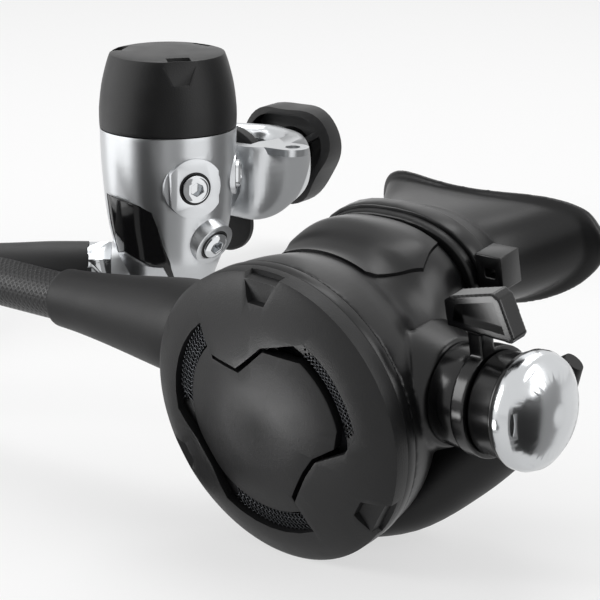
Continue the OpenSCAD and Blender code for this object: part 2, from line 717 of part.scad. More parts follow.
module purge_button() {
    color([0.16, 0.16, 0.17]) at_second() difference() {
        union() {
            intersection() {
                turned_y([
                    [0, -6.7], [10, -6.3], [16, -5.4], [button_lobe - 0.4, -3.9], [button_lobe + 0.6, -3.3], [button_lobe + 1.6, -3],
                    [button_lobe + 1.6, button_back], [0, button_back],
                ]);
                flat_along_y(-9, 6) polygon(lobed(button_lobe, button_inset));
            }
            translate([0, -3, 0]) along_y() cylinder(r = post_r, h = post_end + 3);
        }
        translate([0, button_back - 1.6, 0]) along_y() ring_tube(9.4, post_r + 0.6, 6);
    }
}

module purge_spring() {
    color(steel) at_second() translate([0, button_back - 1.5, 0]) along_y()
        coil_spring(7.3, 0.9, hub_y - button_back + 1.4, 3);
}

bead_r = cavity_r + 2.6;
plate_r = cover_r - 21.2;

module diaphragm() {
    color(silicone) at_second() turned_y([
        [plate_r + gap, 5.6], [plate_r + 3.4, 5.6], [plate_r + 6.4, 7.4], [cavity_r - 5.2, 7.4], [cavity_r - 2.2, 5.6],
        [bead_r, bead_y], [bead_r, diaphragm_y - 0.05],
        [cavity_r - 1.6, 6.5], [cavity_r - 4.8, 8.3], [plate_r + 6, 8.3], [plate_r + 3, 6.5], [plate_r + gap, 6.5],
    ]);
}

plate_y = post_end + gap;

module diaphragm_plate() {
    color(steel) at_second() translate([0, plate_y, 0]) along_y() {
        cylinder(r = plate_r, h = 0.9);
        translate([0, 0, 0.9]) cylinder(r = plate_r - 4.6, h = 0.5);
    }
}

lever_x = 12;
lever_tip_y = plate_y + 1.4 + gap;
barrel_front = barrel_y - barrel_r;

module demand_lever() {
    color(steel) at_second() translate([0, 0, barrel_z]) {
        translate([0, 0, -2.5]) linear_extrude(5) polygon([
            [-6.6, lever_tip_y + 0.5], [-6, lever_tip_y], [-4, lever_tip_y + 0.45], [-1, lever_tip_y + 1.1], [4, 10.4],
            [lever_x + 1, barrel_front - 1.6], [lever_x + 1, barrel_front - 0.4], [lever_x - 0.6, barrel_front - 0.4],
            [3.2, 11.4], [-1.6, lever_tip_y + 2], [-4, lever_tip_y + 1.5], [-6.2, lever_tip_y + 1.2],
        ]);
        translate([lever_x, barrel_front - 1, -6]) cylinder(r = 0.6, h = 12);
    }
}

barrel_bore = 4.6;

module valve_barrel() {
    color(steel) at_barrel() difference() {
        along_x() translate([0, 0, -barrel_end - 5]) cylinder(r = barrel_r, h = 2 * barrel_end + 5);
        along_x() translate([0, 0, -60]) cylinder(r = barrel_bore, h = 120);
        // Slot for the lever's feet, and the air outlet at the back
        translate([lever_x - 5, -barrel_r - 1, -3.4]) cube([10, 5, 6.8]);
        translate([-6, 3, -2.6]) cube([12, 8, 5.2]);
    }
}

module orifice_seat() {
    color(chrome) at_barrel() along_x() difference() {
        translate([0, 0, -30]) union() {
            cylinder(r = barrel_bore - 0.02, h = 14);
            translate([0, 0, 14]) cylinder(r1 = 3.2, r2 = 2.2, h = 3);
        }
        translate([0, 0, -40]) cylinder(r = 1.5, h = 40);
        translate([0, 0, -31]) cylinder(r = 2.6, h = 8, $fn = 6);
    }
}

poppet_start = -12.7;

module valve_poppet() {
    color(rubber) at_barrel() along_x() translate([0, 0, poppet_start]) difference() {
        union() {
            cylinder(r = barrel_bore - running, h = 5);
            translate([0, 0, 5]) cylinder(r = 2.6, h = 15);
            translate([0, 0, 20]) cylinder(r = barrel_bore - running, h = 2);
        }
        translate([0, 0, 3.4]) cylinder(r = 1.2, h = 30);
    }
}

poppet_end = poppet_start + 22;

module poppet_spring() {
    color(steel) at_barrel() along_x() translate([0, 0, poppet_end + 0.1]) coil_spring(3.1, 0.8, 10, 6);
}

module adjuster_spindle() {
    color(steel) at_barrel() along_x() difference() {
        union() {
            translate([0, 0, poppet_end + 10.2]) cylinder(r = barrel_bore - running, h = barrel_end - poppet_end - 4);
            translate([0, 0, barrel_end + 4]) cylinder(r = 3, h = sleeve_end + 5 - barrel_end - 4);
        }
        translate([0, 0, barrel_end - 1.4]) ring_tube(6, barrel_bore - 0.9, 1.6);
    }
}

module spindle_seal() {
    color(rubber) at_barrel() along_x() translate([0, 0, barrel_end - 0.6])
        rotate_extrude() translate([barrel_bore - 0.48, 0]) circle(r = 0.4, $fn = 24);
}

sleeve_end = 56.5;

module barrel_sleeve() {
    color(smoke) at_barrel() along_x() difference() {
        union() {
            translate([0, 0, barrel_end + 0.1]) cylinder(r = 12.4, h = sleeve_end - barrel_end - 0.1);
            translate([0, 0, sleeve_end - 1.2]) cylinder(r = 13.4, h = 1.2);
        }
        translate([0, 0, barrel_end - 1]) cylinder(r = barrel_bore + 0.02, h = 30);
        translate([0, 0, lever_ring_start - gap]) lever_sweep_cut();
    }
}

// Groove round the sleeve that the venturi lever's ring turns in
lever_ring_w = 4;
lever_ring_start = barrel_end + 7.5;
module lever_sweep_cut() ring_tube(20, 10.6, lever_ring_w + 2 * gap);

module knob_form() {
    rotate_extrude() polygon([
        [0, 0], [knob_r - 0.4, 0], [knob_r, 0.6], [knob_r, 2.4], [knob_r - 0.8, 4.4], [knob_r - 3.2, 6.4],
        [knob_r - 7.4, 7.8], [knob_r - 11, 8.3], [0, 8.5],
    ]);
}

module adjustment_knob() {
    color(chrome) at_barrel() along_x() translate([0, 0, sleeve_end + gap]) difference() {
        knob_form();
        for (a = [20:60:320]) rotate([0, 0, a]) translate([knob_r + 8.2, 0, 1.8]) rotate([0, 18, 0]) cylinder(r = 11, h = 14);
        translate([0, 0, -1]) cylinder(r = 3.02, h = 6.4);
        translate([0, 0, -1]) ring_tube(knob_r - 2, 6, 4.4);
    }
}

// The venturi lever's paddle, seen from the front, [x, z from the barrel's axis]
paddle = [[39.4, 19.4], [57.6, 18.2], [58.4, 19.4], [55.4, 28.6], [53.4, 29.8], [41, 27], [39, 25.6]];
paddle_face = [[41.2, 21], [56, 20.1], [53.6, 27.8], [42.2, 25.2]];
paddle_front = -4.6;
paddle_t = 5.2;

module venturi_lever() {
    color(smoke) at_barrel() {
        difference() {
            union() {
                translate([0, paddle_front + paddle_t, 0]) rotate([90, 0, 0]) linear_extrude(paddle_t) polygon(paddle);
                translate([lever_ring_start, -4, 11]) cube([lever_ring_w, 4.6, 12]);
                along_x() translate([0, 0, lever_ring_start]) cylinder(r = 13.4, h = lever_ring_w);
            }
            translate([0, paddle_front + 1.8, 0]) rotate([90, 0, 0]) linear_extrude(4) polygon(paddle_face);
            along_x() translate([0, 0, 30]) cylinder(r = 10.6 + running, h = 30);
        }
    }
}

module venturi_vane() {
    color(black) at_second() translate([0, vane_y, airway[2]]) {
        cylinder(r = vane_pin_r, h = 2 * (airway[1] + 1.2), center = true);
        translate([0, -0.5, -7]) cube([11, 1, 14]);
    }
}

module exhaust_valve() {
    color(silicone) at_second() translate([0, seat_y, seat_z]) {
        translate([0, 0, -1.3]) cylinder(r1 = flap_r - 0.8, r2 = flap_r, h = 1.1);
        translate([0, 0, -0.6]) cylinder(r = 1.5, h = 4.4);
    }
}

tee_line = smooth([
    [0, tee_middle[0], tee_z], [13, 30.6, tee_z + 3.6], [24, 36, -22.2], [34, 41, -14.6], [44, 45.4, -4.8], [53, 47.5, 5.4],
], 2);
tee_section = smooth([[tee_middle[1], tee_middle[2]], [13.8, 8.2], [12, 9.8], [10.4, 8.8], [8, 7.2], [2, 2.6]], 2);

function mirrored(line) = concat([for (i = [len(line) - 1:-1:1]) [-line[i][0], line[i][1], line[i][2]]], line);
function both_ways(s) = concat([for (i = [len(s) - 1:-1:1]) s[i]], s);

module tee_form(shrink, shift) {
    line = [for (p = tee_line) [p[0], p[1] + shift * pow(p[0] / 44, 2), p[2]]];
    section = [for (s = tee_section) [max(s[0] - shrink, 0.3), max(s[1] - shrink, 0.3)]];
    skin(along(mirrored(line), both_ways(section), 16));
}

module exhaust_tee() {
    color(rubber) at_second() difference() {
        tee_form(0, 0);
        intersection() {
            tee_form(2, 7);
            translate([-47, -10, -60]) cube([94, 80, 80]);
        }
        translate([0, seat_y, seat_z - 2.2]) cylinder(r = seat_r + gap, h = 40);
        housing_form(gap);
        tube_form(gap);
        translate([0, barrel_y, barrel_z]) along_x() translate([0, 0, -barrel_end - 1]) cylinder(r = boss_r + gap, h = 2 * barrel_end + 2);
    }
}

// Mouthpiece: a soft boot on the tube, an oval flange and two bite tabs
boot_sections = smooth([
    [tube_start + 1.4, 0.6, 33.6, 24.6, 0.86], [tube_start + 3, 0.2, 34, 24.9, 0.86], [54.6, 0.8, 33.4, 24.5, 0.86],
    [60, 2.4, 31.8, 23, 0.88], [66, 4.6, 29.4, 21, 0.9], [72, 4.8, 29, 22.4, 0.9], [76.4, 3, 29.6, 26, 0.9],
], 2);
flange_line = [
    for (x = [-34, -32.6, -29, -24, -18, -12, -6, 0, 6, 12, 18, 24, 29, 32.6, 34])
        [x, 77 + 10.5 * pow(abs(x) / 34, 2), 15 + 4.4 * pow(abs(x) / 34, 2)],
];
flange_section = [[1.2, 1.6], [2, 6.4], [2.2, 10], [2.2, 12.6], [2.2, 14.2], [2.2, 15], [2.2, 15.4], [2.2, 15.5]];
tie_y = 50;
tie_w = 4.6;

module boot_form(grow) skin([for (s = boot_sections) section_ring(s, grow, 36)]);

module mouthpiece() {
    color(rubber) at_second() difference() {
        union() {
            boot_form(0);
            skin(along(flange_line, concat(flange_section, [for (i = [6:-1:0]) flange_section[i]]), 14, 0.85));
            for (side = [-1, 1])
                skin(along([[side * 20, 76, 15], [side * 19.4, 86, 15], [side * 18.6, 96, 14.6], [side * 18, 100, 14.4]],
                    [[5, 2.6], [5.2, 2.2], [5, 2.6], [3, 2]], 12));
        }
        tube_form(0.1);
        housing_form(0.1);
        tie_band(2, 0, 0.15);
        stadium_y(airway[0] - 1, airway[1] - 1, 50, 100);
    }
}

// The band round the boot, from inside to outside its inner oval, and longer by `more` each way
module tie_band(outside, inside, more) {
    difference() {
        skin([for (y = [tie_y - more, tie_y + tie_w + more]) section_ring([y, 1.2, 33, 24.2, 0.86], outside, 36)]);
        skin([for (y = [tie_y - 2, tie_y + tie_w + 2]) section_ring([y, 1.2, 33, 24.2, 0.86], inside, 36)]);
    }
}

module mouthpiece_tie() {
    color(black) at_second() {
        tie_band(1.9, 0.15, 0);
        translate([25.2, tie_y - 1.4, 19]) difference() {
            cube([7.6, tie_w + 2.8, 8.6]);
            translate([2.6, -1, 3]) cube([3, 12, 2.2]);
        }
    }
}

// ---------- Hose ----------

hose_r = hose_d / 2;
nut_end = 43;
ferrule_r = 8.6;
second_hose_start = 57;
second_boot_start = 44;
second_boot_end = second_boot_start + boot_l + 11;
first_nut_start = boss_reach(hose_port) + 0.2;
first_hose_start = first_nut_start + 18;
first_boot_start = first_nut_start + 7.4;
first_boot_end = first_boot_start + boot_l;

module inlet_nut() {
    color(chrome) at_barrel() along_x() difference() {
        union() {
            translate([0, 0, -nut_end]) cylinder(r = 11.4, h = nut_end - barrel_end - 0.2, $fn = 6);
            translate([0, 0, -nut_end - 0.8]) cylinder(r = 9.4, h = 1);
        }
        translate([0, 0, -60]) cylinder(r = barrel_r + 0.02, h = 18.02);
        translate([0, 0, -60]) cylinder(r = barrel_r + 0.02, h = 60);
    }
}

module hose_second_fitting() {
    color(steel) at_barrel() along_x() difference() {
        union() {
            translate([0, 0, -second_hose_start]) cylinder(r = ferrule_r, h = second_hose_start - nut_end - 1);
            translate([0, 0, -nut_end - 1.1]) cylinder(r = barrel_bore - 0.1, h = 6);
        }
        translate([0, 0, -70]) cylinder(r = 2.4, h = 80);
    }
}

// A tapered rubber boot along +Z, over a ferrule and then the hose
module hose_boot(profile, ferrule_h, h) {
    difference() {
        rotate_extrude() polygon(concat([[0, 0]], profile, [[0, h]]));
        translate([0, 0, -1]) cylinder(r = ferrule_r + 0.02, h = ferrule_h + 1);
        translate([0, 0, -1]) cylinder(r = hose_r + 0.02, h = h + 2);
    }
}

module hose_second_boot() {
    h = second_boot_end - second_boot_start;
    color(rubber) at_barrel() rotate([0, -90, 0]) translate([0, 0, second_boot_start])
        hose_boot([[11.6, 0], [12.4, 1.4], [12.2, 7], [11.2, 15], [10, 24], [8.9, 33], [8.1, 41], [7.7, h - 1], [7, h]],
            second_hose_start - second_boot_start, h);
}

module hose_first_fitting() {
    color(chrome) at_port(hose_port) difference() {
        union() {
            translate([0, 0, first_nut_start - 8]) cylinder(r = hose_port_r - 0.05, h = 9);
            translate([0, 0, first_nut_start]) cylinder(r = 8, h = 7, $fn = 6);
            translate([0, 0, first_nut_start + 6]) cylinder(r = first_ferrule_r, h = first_hose_start - first_nut_start - 6);
        }
        translate([0, 0, -1]) cylinder(r = 2.4, h = 80);
    }
}

first_ferrule_r = 7.1;

module hose_first_boot() {
    color(rubber) at_port(hose_port) translate([0, 0, first_boot_start]) difference() {
        rotate_extrude() polygon([
            [0, 0], [7.6, 0], [8, 1], [8, 12], [7.6, 22], [7.2, boot_l - 1], [6.8, boot_l], [0, boot_l],
        ]);
        translate([0, 0, -1]) cylinder(r = first_ferrule_r + 0.02, h = first_hose_start - first_boot_start + 1);
        translate([0, 0, -1]) cylinder(r = hose_r + 0.02, h = boot_l + 2);
    }
}

// The route's points from the second stage's boot to the loop, and how the hose comes down over `fall_run`
hose_out = [[-54, -143], [-73, -131.5], [-95, -128.3], [-114, -128]];
hose_out_run = [0, 22, 44, 63];
loop_run = 82;
fall_run = 160;
loop_centre = [-134, -54];
loop_from = 271;
loop_turn = 541;
loop_outer = 74;
loop_step = 13.1;
hump_at = 220.5;
hump_width = 38;
hump_rise = hose_d + 1.9;
ground_z = hose_r + 0.05;

function fall(run) = (second_exit(0)[2] - ground_z) * (1 + cos(180 * min(run / fall_run, 1))) / 2;
function loop_point(t) =
    let (r = loop_outer - loop_step * t / 360, a = loop_from - t)
    [loop_centre[0] + r * cos(a), loop_centre[1] + r * sin(a),
     ground_z + fall(loop_run + 1.29 * t) + hump_rise * exp(-pow((t - hump_at) / hump_width, 2))];

hose_back = [[-112, 0, ground_z], [-90, 0, ground_z + 0.2], [-74, 0, ground_z + 1.2]];

function second_exit(x) = second_point([-x, barrel_y, barrel_z]);
function first_exit(r) = [-r, 0, hose_port[1]];

hose_route = smooth(concat(
    [second_exit(second_hose_start + 0.05), second_exit(76), second_exit(second_boot_end + 1)],
    [for (i = [0:3]) [hose_out[i][0], hose_out[i][1], ground_z + fall(hose_out_run[i])]],
    [for (t = [0:18:loop_turn]) loop_point(t)],
    hose_back,
    [first_exit(first_boot_end + 1), first_exit(first_hose_start + 14), first_exit(first_hose_start + 0.05)]), 1);

hose_sides = 10;

module lp_hose() {
    color(rubber) skin(along(hose_route, [[hose_r - 0.02, hose_r - 0.02]], hose_sides));
}

steps = [for (i = [1:len(hose_route) - 1]) norm(hose_route[i] - hose_route[i - 1])];
hose_length = steps * [for (i = steps) 1];

// Least distance between two stretches of the hose that aren't neighbours
function hose_gap() = min([
    for (i = [0:len(hose_route) - 1], j = [i + 6:1:len(hose_route) - 1]) norm(hose_route[i] - hose_route[j]),
]) - hose_d;
echo(str("hose length ", hose_length, " mm, least gap between its turns ", hose_gap(), " mm"));

first_stage_body();
end_cap();
main_spring();
spring_adjuster();
main_diaphragm();
valve_lifter();
inlet_valve();
label_inlay();
port_plugs();
port_plug_seals();
yoke();
yoke_retainer();
inlet_filter();
dust_cap();
yoke_screw();
yoke_knob();
screw_pad();
hose_first_fitting();
hose_first_boot();
lp_hose();
hose_second_boot();
hose_second_fitting();
inlet_nut();
housing();
retaining_ring();
front_cover();
cover_grille();
purge_button();
purge_spring();
diaphragm();
diaphragm_plate();
demand_lever();
valve_barrel();
orifice_seat();
valve_poppet();
poppet_spring();
adjuster_spindle();
spindle_seal();
barrel_sleeve();
adjustment_knob();
venturi_lever();
venturi_vane();
exhaust_valve();
exhaust_tee();
mouthpiece();
mouthpiece_tie();
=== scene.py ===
"""Scuba regulator set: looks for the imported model. Everything is in metres, in the model's own frame."""

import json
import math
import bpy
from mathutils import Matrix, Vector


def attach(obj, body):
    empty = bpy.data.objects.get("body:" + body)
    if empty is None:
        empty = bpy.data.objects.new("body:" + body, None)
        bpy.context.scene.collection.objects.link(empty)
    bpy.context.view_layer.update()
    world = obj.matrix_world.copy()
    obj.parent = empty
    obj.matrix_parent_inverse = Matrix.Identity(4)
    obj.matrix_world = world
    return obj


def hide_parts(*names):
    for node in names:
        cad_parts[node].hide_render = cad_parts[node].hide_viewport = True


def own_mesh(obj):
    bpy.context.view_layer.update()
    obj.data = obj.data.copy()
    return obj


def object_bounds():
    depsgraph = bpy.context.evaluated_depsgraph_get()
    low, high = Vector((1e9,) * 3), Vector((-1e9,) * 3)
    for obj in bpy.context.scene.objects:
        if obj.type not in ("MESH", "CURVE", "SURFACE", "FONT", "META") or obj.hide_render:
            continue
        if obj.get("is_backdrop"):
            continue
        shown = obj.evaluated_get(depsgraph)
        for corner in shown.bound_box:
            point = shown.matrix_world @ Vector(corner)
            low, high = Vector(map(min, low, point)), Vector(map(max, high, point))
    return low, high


bl_info = {
    "name": "Scuba regulator set",
    "version": (1, 0, 0),
    "blender": (4, 5, 0),
    "location": "View3D > Sidebar > Regulator",
    "description": "Dresses the packed scuba regulator set: first stage, yoke, hose and second stage",
    "category": "Object",
}

import bmesh
import bpy
from mathutils import Matrix, Vector

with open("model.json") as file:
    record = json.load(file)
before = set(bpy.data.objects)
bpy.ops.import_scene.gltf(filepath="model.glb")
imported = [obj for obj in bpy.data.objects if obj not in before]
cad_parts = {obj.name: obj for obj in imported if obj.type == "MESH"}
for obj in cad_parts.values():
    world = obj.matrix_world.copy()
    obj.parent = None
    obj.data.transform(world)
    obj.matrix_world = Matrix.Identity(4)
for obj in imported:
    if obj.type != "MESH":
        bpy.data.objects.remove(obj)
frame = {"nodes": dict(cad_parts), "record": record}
CAD_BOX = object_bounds()
MM = 0.001

# ---------- Places: the same sizes as the model's source, in millimetres ----------

# Radius of the front cover
COVER_R = 36.8
# The exhaust tee's trunk: how far back its middle lies, its half depth and its half height
TEE = (27.0, 15.5, 6.7)
# How far the trunk's underside lies below the middle of the housing
TEE_DROP = 41.1
TEE_Z = TEE[2] - TEE_DROP
# Where the second stage stands on the floor, and its turn in degrees
SECOND_AT = (35.5, -251.5)
SECOND_TURN = -41.2
# The barrel's axis, back and up from the middle of the housing, and its bore
BARREL = (24.0, 4.0)
BARREL_R = 7.5
# How far out the housing's bosses end along the barrel, and their radius at the root
BARREL_END = 37.0
BOSS_R = 16.2
# Height of the yoke's screw, and its heading in degrees
YOKE_Z = 33.5
YOKE_TURN = 57.0
HOSE_R = 6.25
# Height of the hose's port on the first stage
PORT_Z = 8.5
# How far out along the barrel's axis the hose comes out of its ferrule
FERRULE_END = 57.05
# The exhaust valve's seat, and the radius of its stub
SEAT = (0.0, 26.5, -35.6)
SEAT_R = 12.2
# Radii of the diaphragm's chamber and of the cover's opening
CAVITY_R = 31.2
OPENING_R = 28.2
# Space that a moulding leaves round its neighbour
SLACK = 0.3


def second_lean():
    """How far the second stage leans, resting on its cover's rim and its tee's trunk."""
    a = TEE[0] ** 2 - TEE[1] ** 2
    b = TEE[0] * (TEE_Z + COVER_R)
    c = (TEE_Z + COVER_R) ** 2 - TEE[2] ** 2
    return math.atan((math.sqrt(b * b - a * c) - b) / a)


LEAN = second_lean()
MILLIMETRES = Matrix.Scale(MM, 4)
IN_ROW = MILLIMETRES
IN_SECOND = (
    MILLIMETRES
    @ Matrix.Translation((*SECOND_AT, COVER_R * math.cos(LEAN)))
    @ Matrix.Rotation(math.radians(SECOND_TURN), 4, "Z")
    @ Matrix.Rotation(LEAN, 4, "X")
)
ALONG_X = Matrix.Rotation(math.radians(90), 4, "Y")
ALONG_Y = Matrix.Rotation(math.radians(-90), 4, "X")
# +Z along the barrel's axis, from the middle of the housing, in the second stage's own millimetres
BARREL_AXIS = Matrix.Translation((0, *BARREL)) @ ALONG_X
AT_BARREL = IN_SECOND @ BARREL_AXIS
# +X outwards along the yoke's screw
AT_YOKE = MILLIMETRES @ Matrix.Translation((0, 0, YOKE_Z)) @ Matrix.Rotation(math.radians(YOKE_TURN), 4, "Z")

# ---------- Small tools for meshes ----------


def mix(a, b, t):
    """What lies a share t of the way from a to b."""
    return a + (b - a) * t


def smooth(points, steps):
    """A smooth run through all points, with so many pieces between each two."""
    points = [Vector(p) for p in points]
    out = []
    for i in range(len(points) - 1):
        a, b = points[max(i - 1, 0)], points[i]
        c, d = points[i + 1], points[min(i + 2, len(points) - 1)]
        for s in range(steps):
            t = s / steps
            square, cube = 2 * a - 5 * b + 4 * c - d, 3 * b - a - 3 * c + d
            out.append(0.5 * (2 * b + (c - a) * t + square * t**2 + cube * t**3))
    return out + [points[-1]]


def eased(profile, steps):
    """A profile of (radius, height) with a smooth run through its points."""
    return [(p.x, p.y) for p in smooth([(*point, 0) for point in profile], steps)]


def oval(a, b, squareness, sides):
    """An oval of half width a and half height b; a squareness of 1 is an ellipse, and less is squarer."""
    ring = []
    for i in range(sides):
        t = 2 * math.pi * i / sides
        c, s = math.cos(t), math.sin(t)
        ring.append((a * math.copysign(abs(c) ** squareness, c), b * math.copysign(abs(s) ** squareness, s)))
    return ring


def loft(rings, closed=False):
    """Vertices and faces of a skin through rings of points, with its ends capped unless it is closed."""
    n, m = len(rings[0]), len(rings)
    verts = [Vector(p) for r in rings for p in r]
    faces = []
    for k in range(m if closed else m - 1):
        for i in range(n):
            a, b = k * n + i, k * n + (i + 1) % n
            c, d = ((k + 1) % m) * n + (i + 1) % n, ((k + 1) % m) * n + i
            faces.append((a, b, c, d))
    if not closed:
        faces.append(tuple(range(n))[::-1])
        faces.append(tuple((m - 1) * n + i for i in range(n)))
    return verts, faces


def along(route, sections, sides, squareness=1.0):
    """Rings of oval sections along a route, each square to it."""
    rings = []
    for i, p in enumerate(route):
        t = (route[min(i + 1, len(route) - 1)] - route[max(i - 1, 0)]).normalized()
        u = t.cross(Vector((0, 0, 1))).normalized()
        v = u.cross(t)
        a, b = sections[min(i, len(sections) - 1)]
        rings.append([p + u * x + v * y for x, y in oval(a, b, squareness, sides)])
    return rings


def turned(profile, sides):
    """A profile of (radius, height) turned about Z; a radius of 0 closes it."""
    verts, faces, rows = [], [], []
    for r, z in profile:
        if r < 1e-6:
            rows.append([len(verts)] * sides)
            verts.append(Vector((0, 0, z)))
        else:
            rows.append(list(range(len(verts), len(verts) + sides)))
            for i in range(sides):
                t = 2 * math.pi * i / sides
                verts.append(Vector((r * math.cos(t), r * math.sin(t), z)))
    for low, high in zip(rows, rows[1:]):
        for i in range(sides):
            j = (i + 1) % sides
            face = []
            for v in (low[i], low[j], high[j], high[i]):
                if v not in face:
                    face.append(v)
            if len(face) > 2:
                faces.append(face)
    return verts, faces


def rod(r, start, end, sides=64):
    """A round bar along Z."""
    return turned([(0, start), (r, start), (r, end), (0, end)], sides)


def ring(r, thick, sides=72, around=14, height=0.0):
    """A ring of round section about Z."""
    arc = [2 * math.pi * i / around for i in range(around + 1)]
    return turned([(r + thick * math.cos(a), height + thick * math.sin(a)) for a in arc], sides)


def moved(matrix, mesh):
    """A mesh's vertices and faces, moved."""
    return [matrix @ Vector(v) for v in mesh[0]], mesh[1]


def joined(*meshes):
    """Several meshes' vertices and faces as one."""
    verts, faces = [], []
    for points, sides in meshes:
        faces += [tuple(i + len(verts) for i in face) for face in sides]
        verts += list(points)
    return verts, faces


def settle(obj):
    """Applies every modifier, so that the piece is a plain mesh."""
    bpy.context.view_layer.update()
    done = bpy.data.meshes.new_from_object(obj.evaluated_get(bpy.context.evaluated_depsgraph_get()))
    old = obj.data
    obj.modifiers.clear()
    obj.data = done
    done.name = obj.name
    bpy.data.meshes.remove(old)
    return obj


def solid(name, mesh):
    """A loose closed shape, still in the millimetres of the place that it is drawn in."""
    me = bpy.data.meshes.new(name)
    me.from_pydata([tuple(v) for v in mesh[0]], [], mesh[1])
    bm = bmesh.new()
    bm.from_mesh(me)
    bmesh.ops.remove_doubles(bm, verts=bm.verts, dist=1e-3)
    bmesh.ops.recalc_face_normals(bm, faces=bm.faces)
    bm.to_mesh(me)
    bm.free()
    obj = bpy.data.objects.new(name, me)
    bpy.context.scene.collection.objects.link(obj)
    return obj


def fused(name, grid, rounds, *meshes):
    """One moulding from overlapping closed shapes, with soft corners where they meet."""
    obj = solid(name, joined(*meshes))
    melt = obj.modifiers.new("Fused", "REMESH")
    melt.mode = "VOXEL"
    melt.voxel_size = grid
    ease = obj.modifiers.new("Eased", "SMOOTH")
    ease.factor = 0.5
    ease.iterations = rounds
    return settle(obj)


def shaped(obj, tool, operation="DIFFERENCE"):
    """Cuts a closed shape out of a moulding, or keeps or adds it."""
    if not isinstance(tool, bpy.types.Object):
        tool = solid("Tool", tool)
    change = obj.modifiers.new("Shaped", "BOOLEAN")
    change.operation = operation
    change.solver = "MANIFOLD"
    change.object = tool
    settle(obj)
    shape = tool.data
    bpy.data.objects.remove(tool)
    bpy.data.meshes.remove(shape)
    if not obj.data.polygons:
        raise RuntimeError(f"nothing is left of {obj.name}")
    return obj


def rounding(obj, width, segments):
    """Rounds the sharp edges by so many millimetres."""
    bevel = obj.modifiers.new("Rounding", "BEVEL")
    bevel.width = width * MM
    bevel.segments = segments
    bevel.limit_method = "ANGLE"
    bevel.angle_limit = math.radians(35)
    bevel.use_clamp_overlap = True
    bevel.miter_outer = "MITER_ARC"


def piece(name, mesh, place, material, body="regulator", nodes=(), slot="rubber", sharp=35):
    """A mesh or a finished moulding in its own place, riding on a body and standing for CAD nodes."""
    obj = mesh if isinstance(mesh, bpy.types.Object) else solid(name, mesh)
    obj.name = obj.data.name = name
    obj.data.transform(place)
    return finish_piece(obj, material, body, nodes, slot, sharp)


def finish_piece(obj, material, body, nodes, slot, sharp):
    """Shades a piece, gives it its material, hangs it on its body's empty and hides the CAD nodes that it
    stands for.
    """
    obj.data.shade_smooth()
    if sharp:
        obj.data.set_sharp_from_angle(angle=math.radians(sharp))
    obj.data.materials.clear()
    obj.data.materials.append(material)
    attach(obj, body)
    if nodes:
        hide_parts(*nodes)
    return obj


def body_of(node):
    """The moving body that a CAD node belongs to."""
    for body, members in frame["record"]["behaviour"]["bodies"].items():
        if node in members:
            return body
    raise RuntimeError(f"no body holds {node}")


def slot_of(node):
    """The material slot of a CAD node."""
    return next(s["material_slot"] for s in frame["record"]["subparts"] if s["node"] == node)


def dressed(node, material, rounded=0.3, segments=2):
    """A copy of a CAD node with merged faces and rounded edges, in the node's own place."""
    source = frame["nodes"][node]
    obj = source.copy()
    obj.data = source.data.copy()
    obj.parent = None
    obj.name = obj.data.name = node + "_finish"
    for key in list(obj.keys()):
        del obj[key]
    obj.hide_render = obj.hide_viewport = False
    bpy.context.scene.collection.objects.link(obj)
    bm = bmesh.new()
    bm.from_mesh(obj.data)
    bmesh.ops.remove_doubles(bm, verts=bm.verts, dist=1e-6)
    bmesh.ops.dissolve_limit(bm, angle_limit=math.radians(0.6), verts=bm.verts, edges=bm.edges)
    bm.to_mesh(obj.data)
    bm.free()
    if rounded:
        rounding(obj, rounded, segments)
        settle(obj)
    return finish_piece(obj, material, body_of(node), [node], slot_of(node), 40)


# ---------- Things that repeat or follow a path: Geometry Nodes ----------


def add(tree, kind, settings=None, **links):
    """A node with its settings and inputs: each input is linked if it is given a socket, or else set.

    An input is named by its label, with _ for a space, or by i and its number where labels repeat.
    """
    node = tree.nodes.new(kind)
    for key, value in (settings or {}).items():
        setattr(node, key, value)
    for key, value in links.items():
        numbered = key[0] == "i" and key[1:].isdigit()
        socket = node.inputs[int(key[1:]) if numbered else key.replace("_", " ")]
        if isinstance(value, bpy.types.NodeSocket):
            tree.links.new(value, socket)
        else:
            socket.default_value = value
    return node


def grower(name, inputs):
    """An empty tree with named inputs; returns the tree and the sockets of its inputs."""
    tree = bpy.data.node_groups.new(name, "GeometryNodeTree")
    tree.interface.new_socket("Geometry", in_out="OUTPUT", socket_type="NodeSocketGeometry")
    for key, kind in (("Geometry", "Geometry"), *inputs, ("Material", "Material")):
        tree.interface.new_socket(key, in_out="INPUT", socket_type="NodeSocket" + kind)
    source = add(tree, "NodeGroupInput")
    return tree, source.outputs


def grown_end(tree, geometry, material):
    """Makes what was grown real, smooth and finished, and puts it out."""
    real = add(tree, "GeometryNodeRealizeInstances", Geometry=geometry)
    soft = add(tree, "GeometryNodeSetShadeSmooth", Geometry=real.outputs[0])
    paint = add(tree, "GeometryNodeSetMaterial", Geometry=soft.outputs[0], Material=material)
    add(tree, "NodeGroupOutput", Geometry=paint.outputs[0])
    return tree


def coil_tree():
    """A spring of round wire, wound up from the ground."""
    tree, source = grower("Coil", [(key, "Float") for key in ("Radius", "Wire", "Turns", "Rise")])
    spiral = add(
        tree, "GeometryNodeCurveSpiral", Resolution=40, Rotations=source["Turns"],
        Start_Radius=source["Radius"], End_Radius=source["Radius"], Height=source["Rise"],
    )
    wire = add(tree, "GeometryNodeCurvePrimitiveCircle", Resolution=14, Radius=source["Wire"])
    sweep = add(
        tree, "GeometryNodeCurveToMesh",
        Curve=spiral.outputs[0], Profile_Curve=wire.outputs[0], Fill_Caps=True,
    )
    lift = add(tree, "ShaderNodeCombineXYZ", Z=source["Wire"])
    up = add(tree, "GeometryNodeTransform", Geometry=sweep.outputs[0], Translation=lift.outputs[0])
    return grown_end(tree, up.outputs[0], source["Material"])


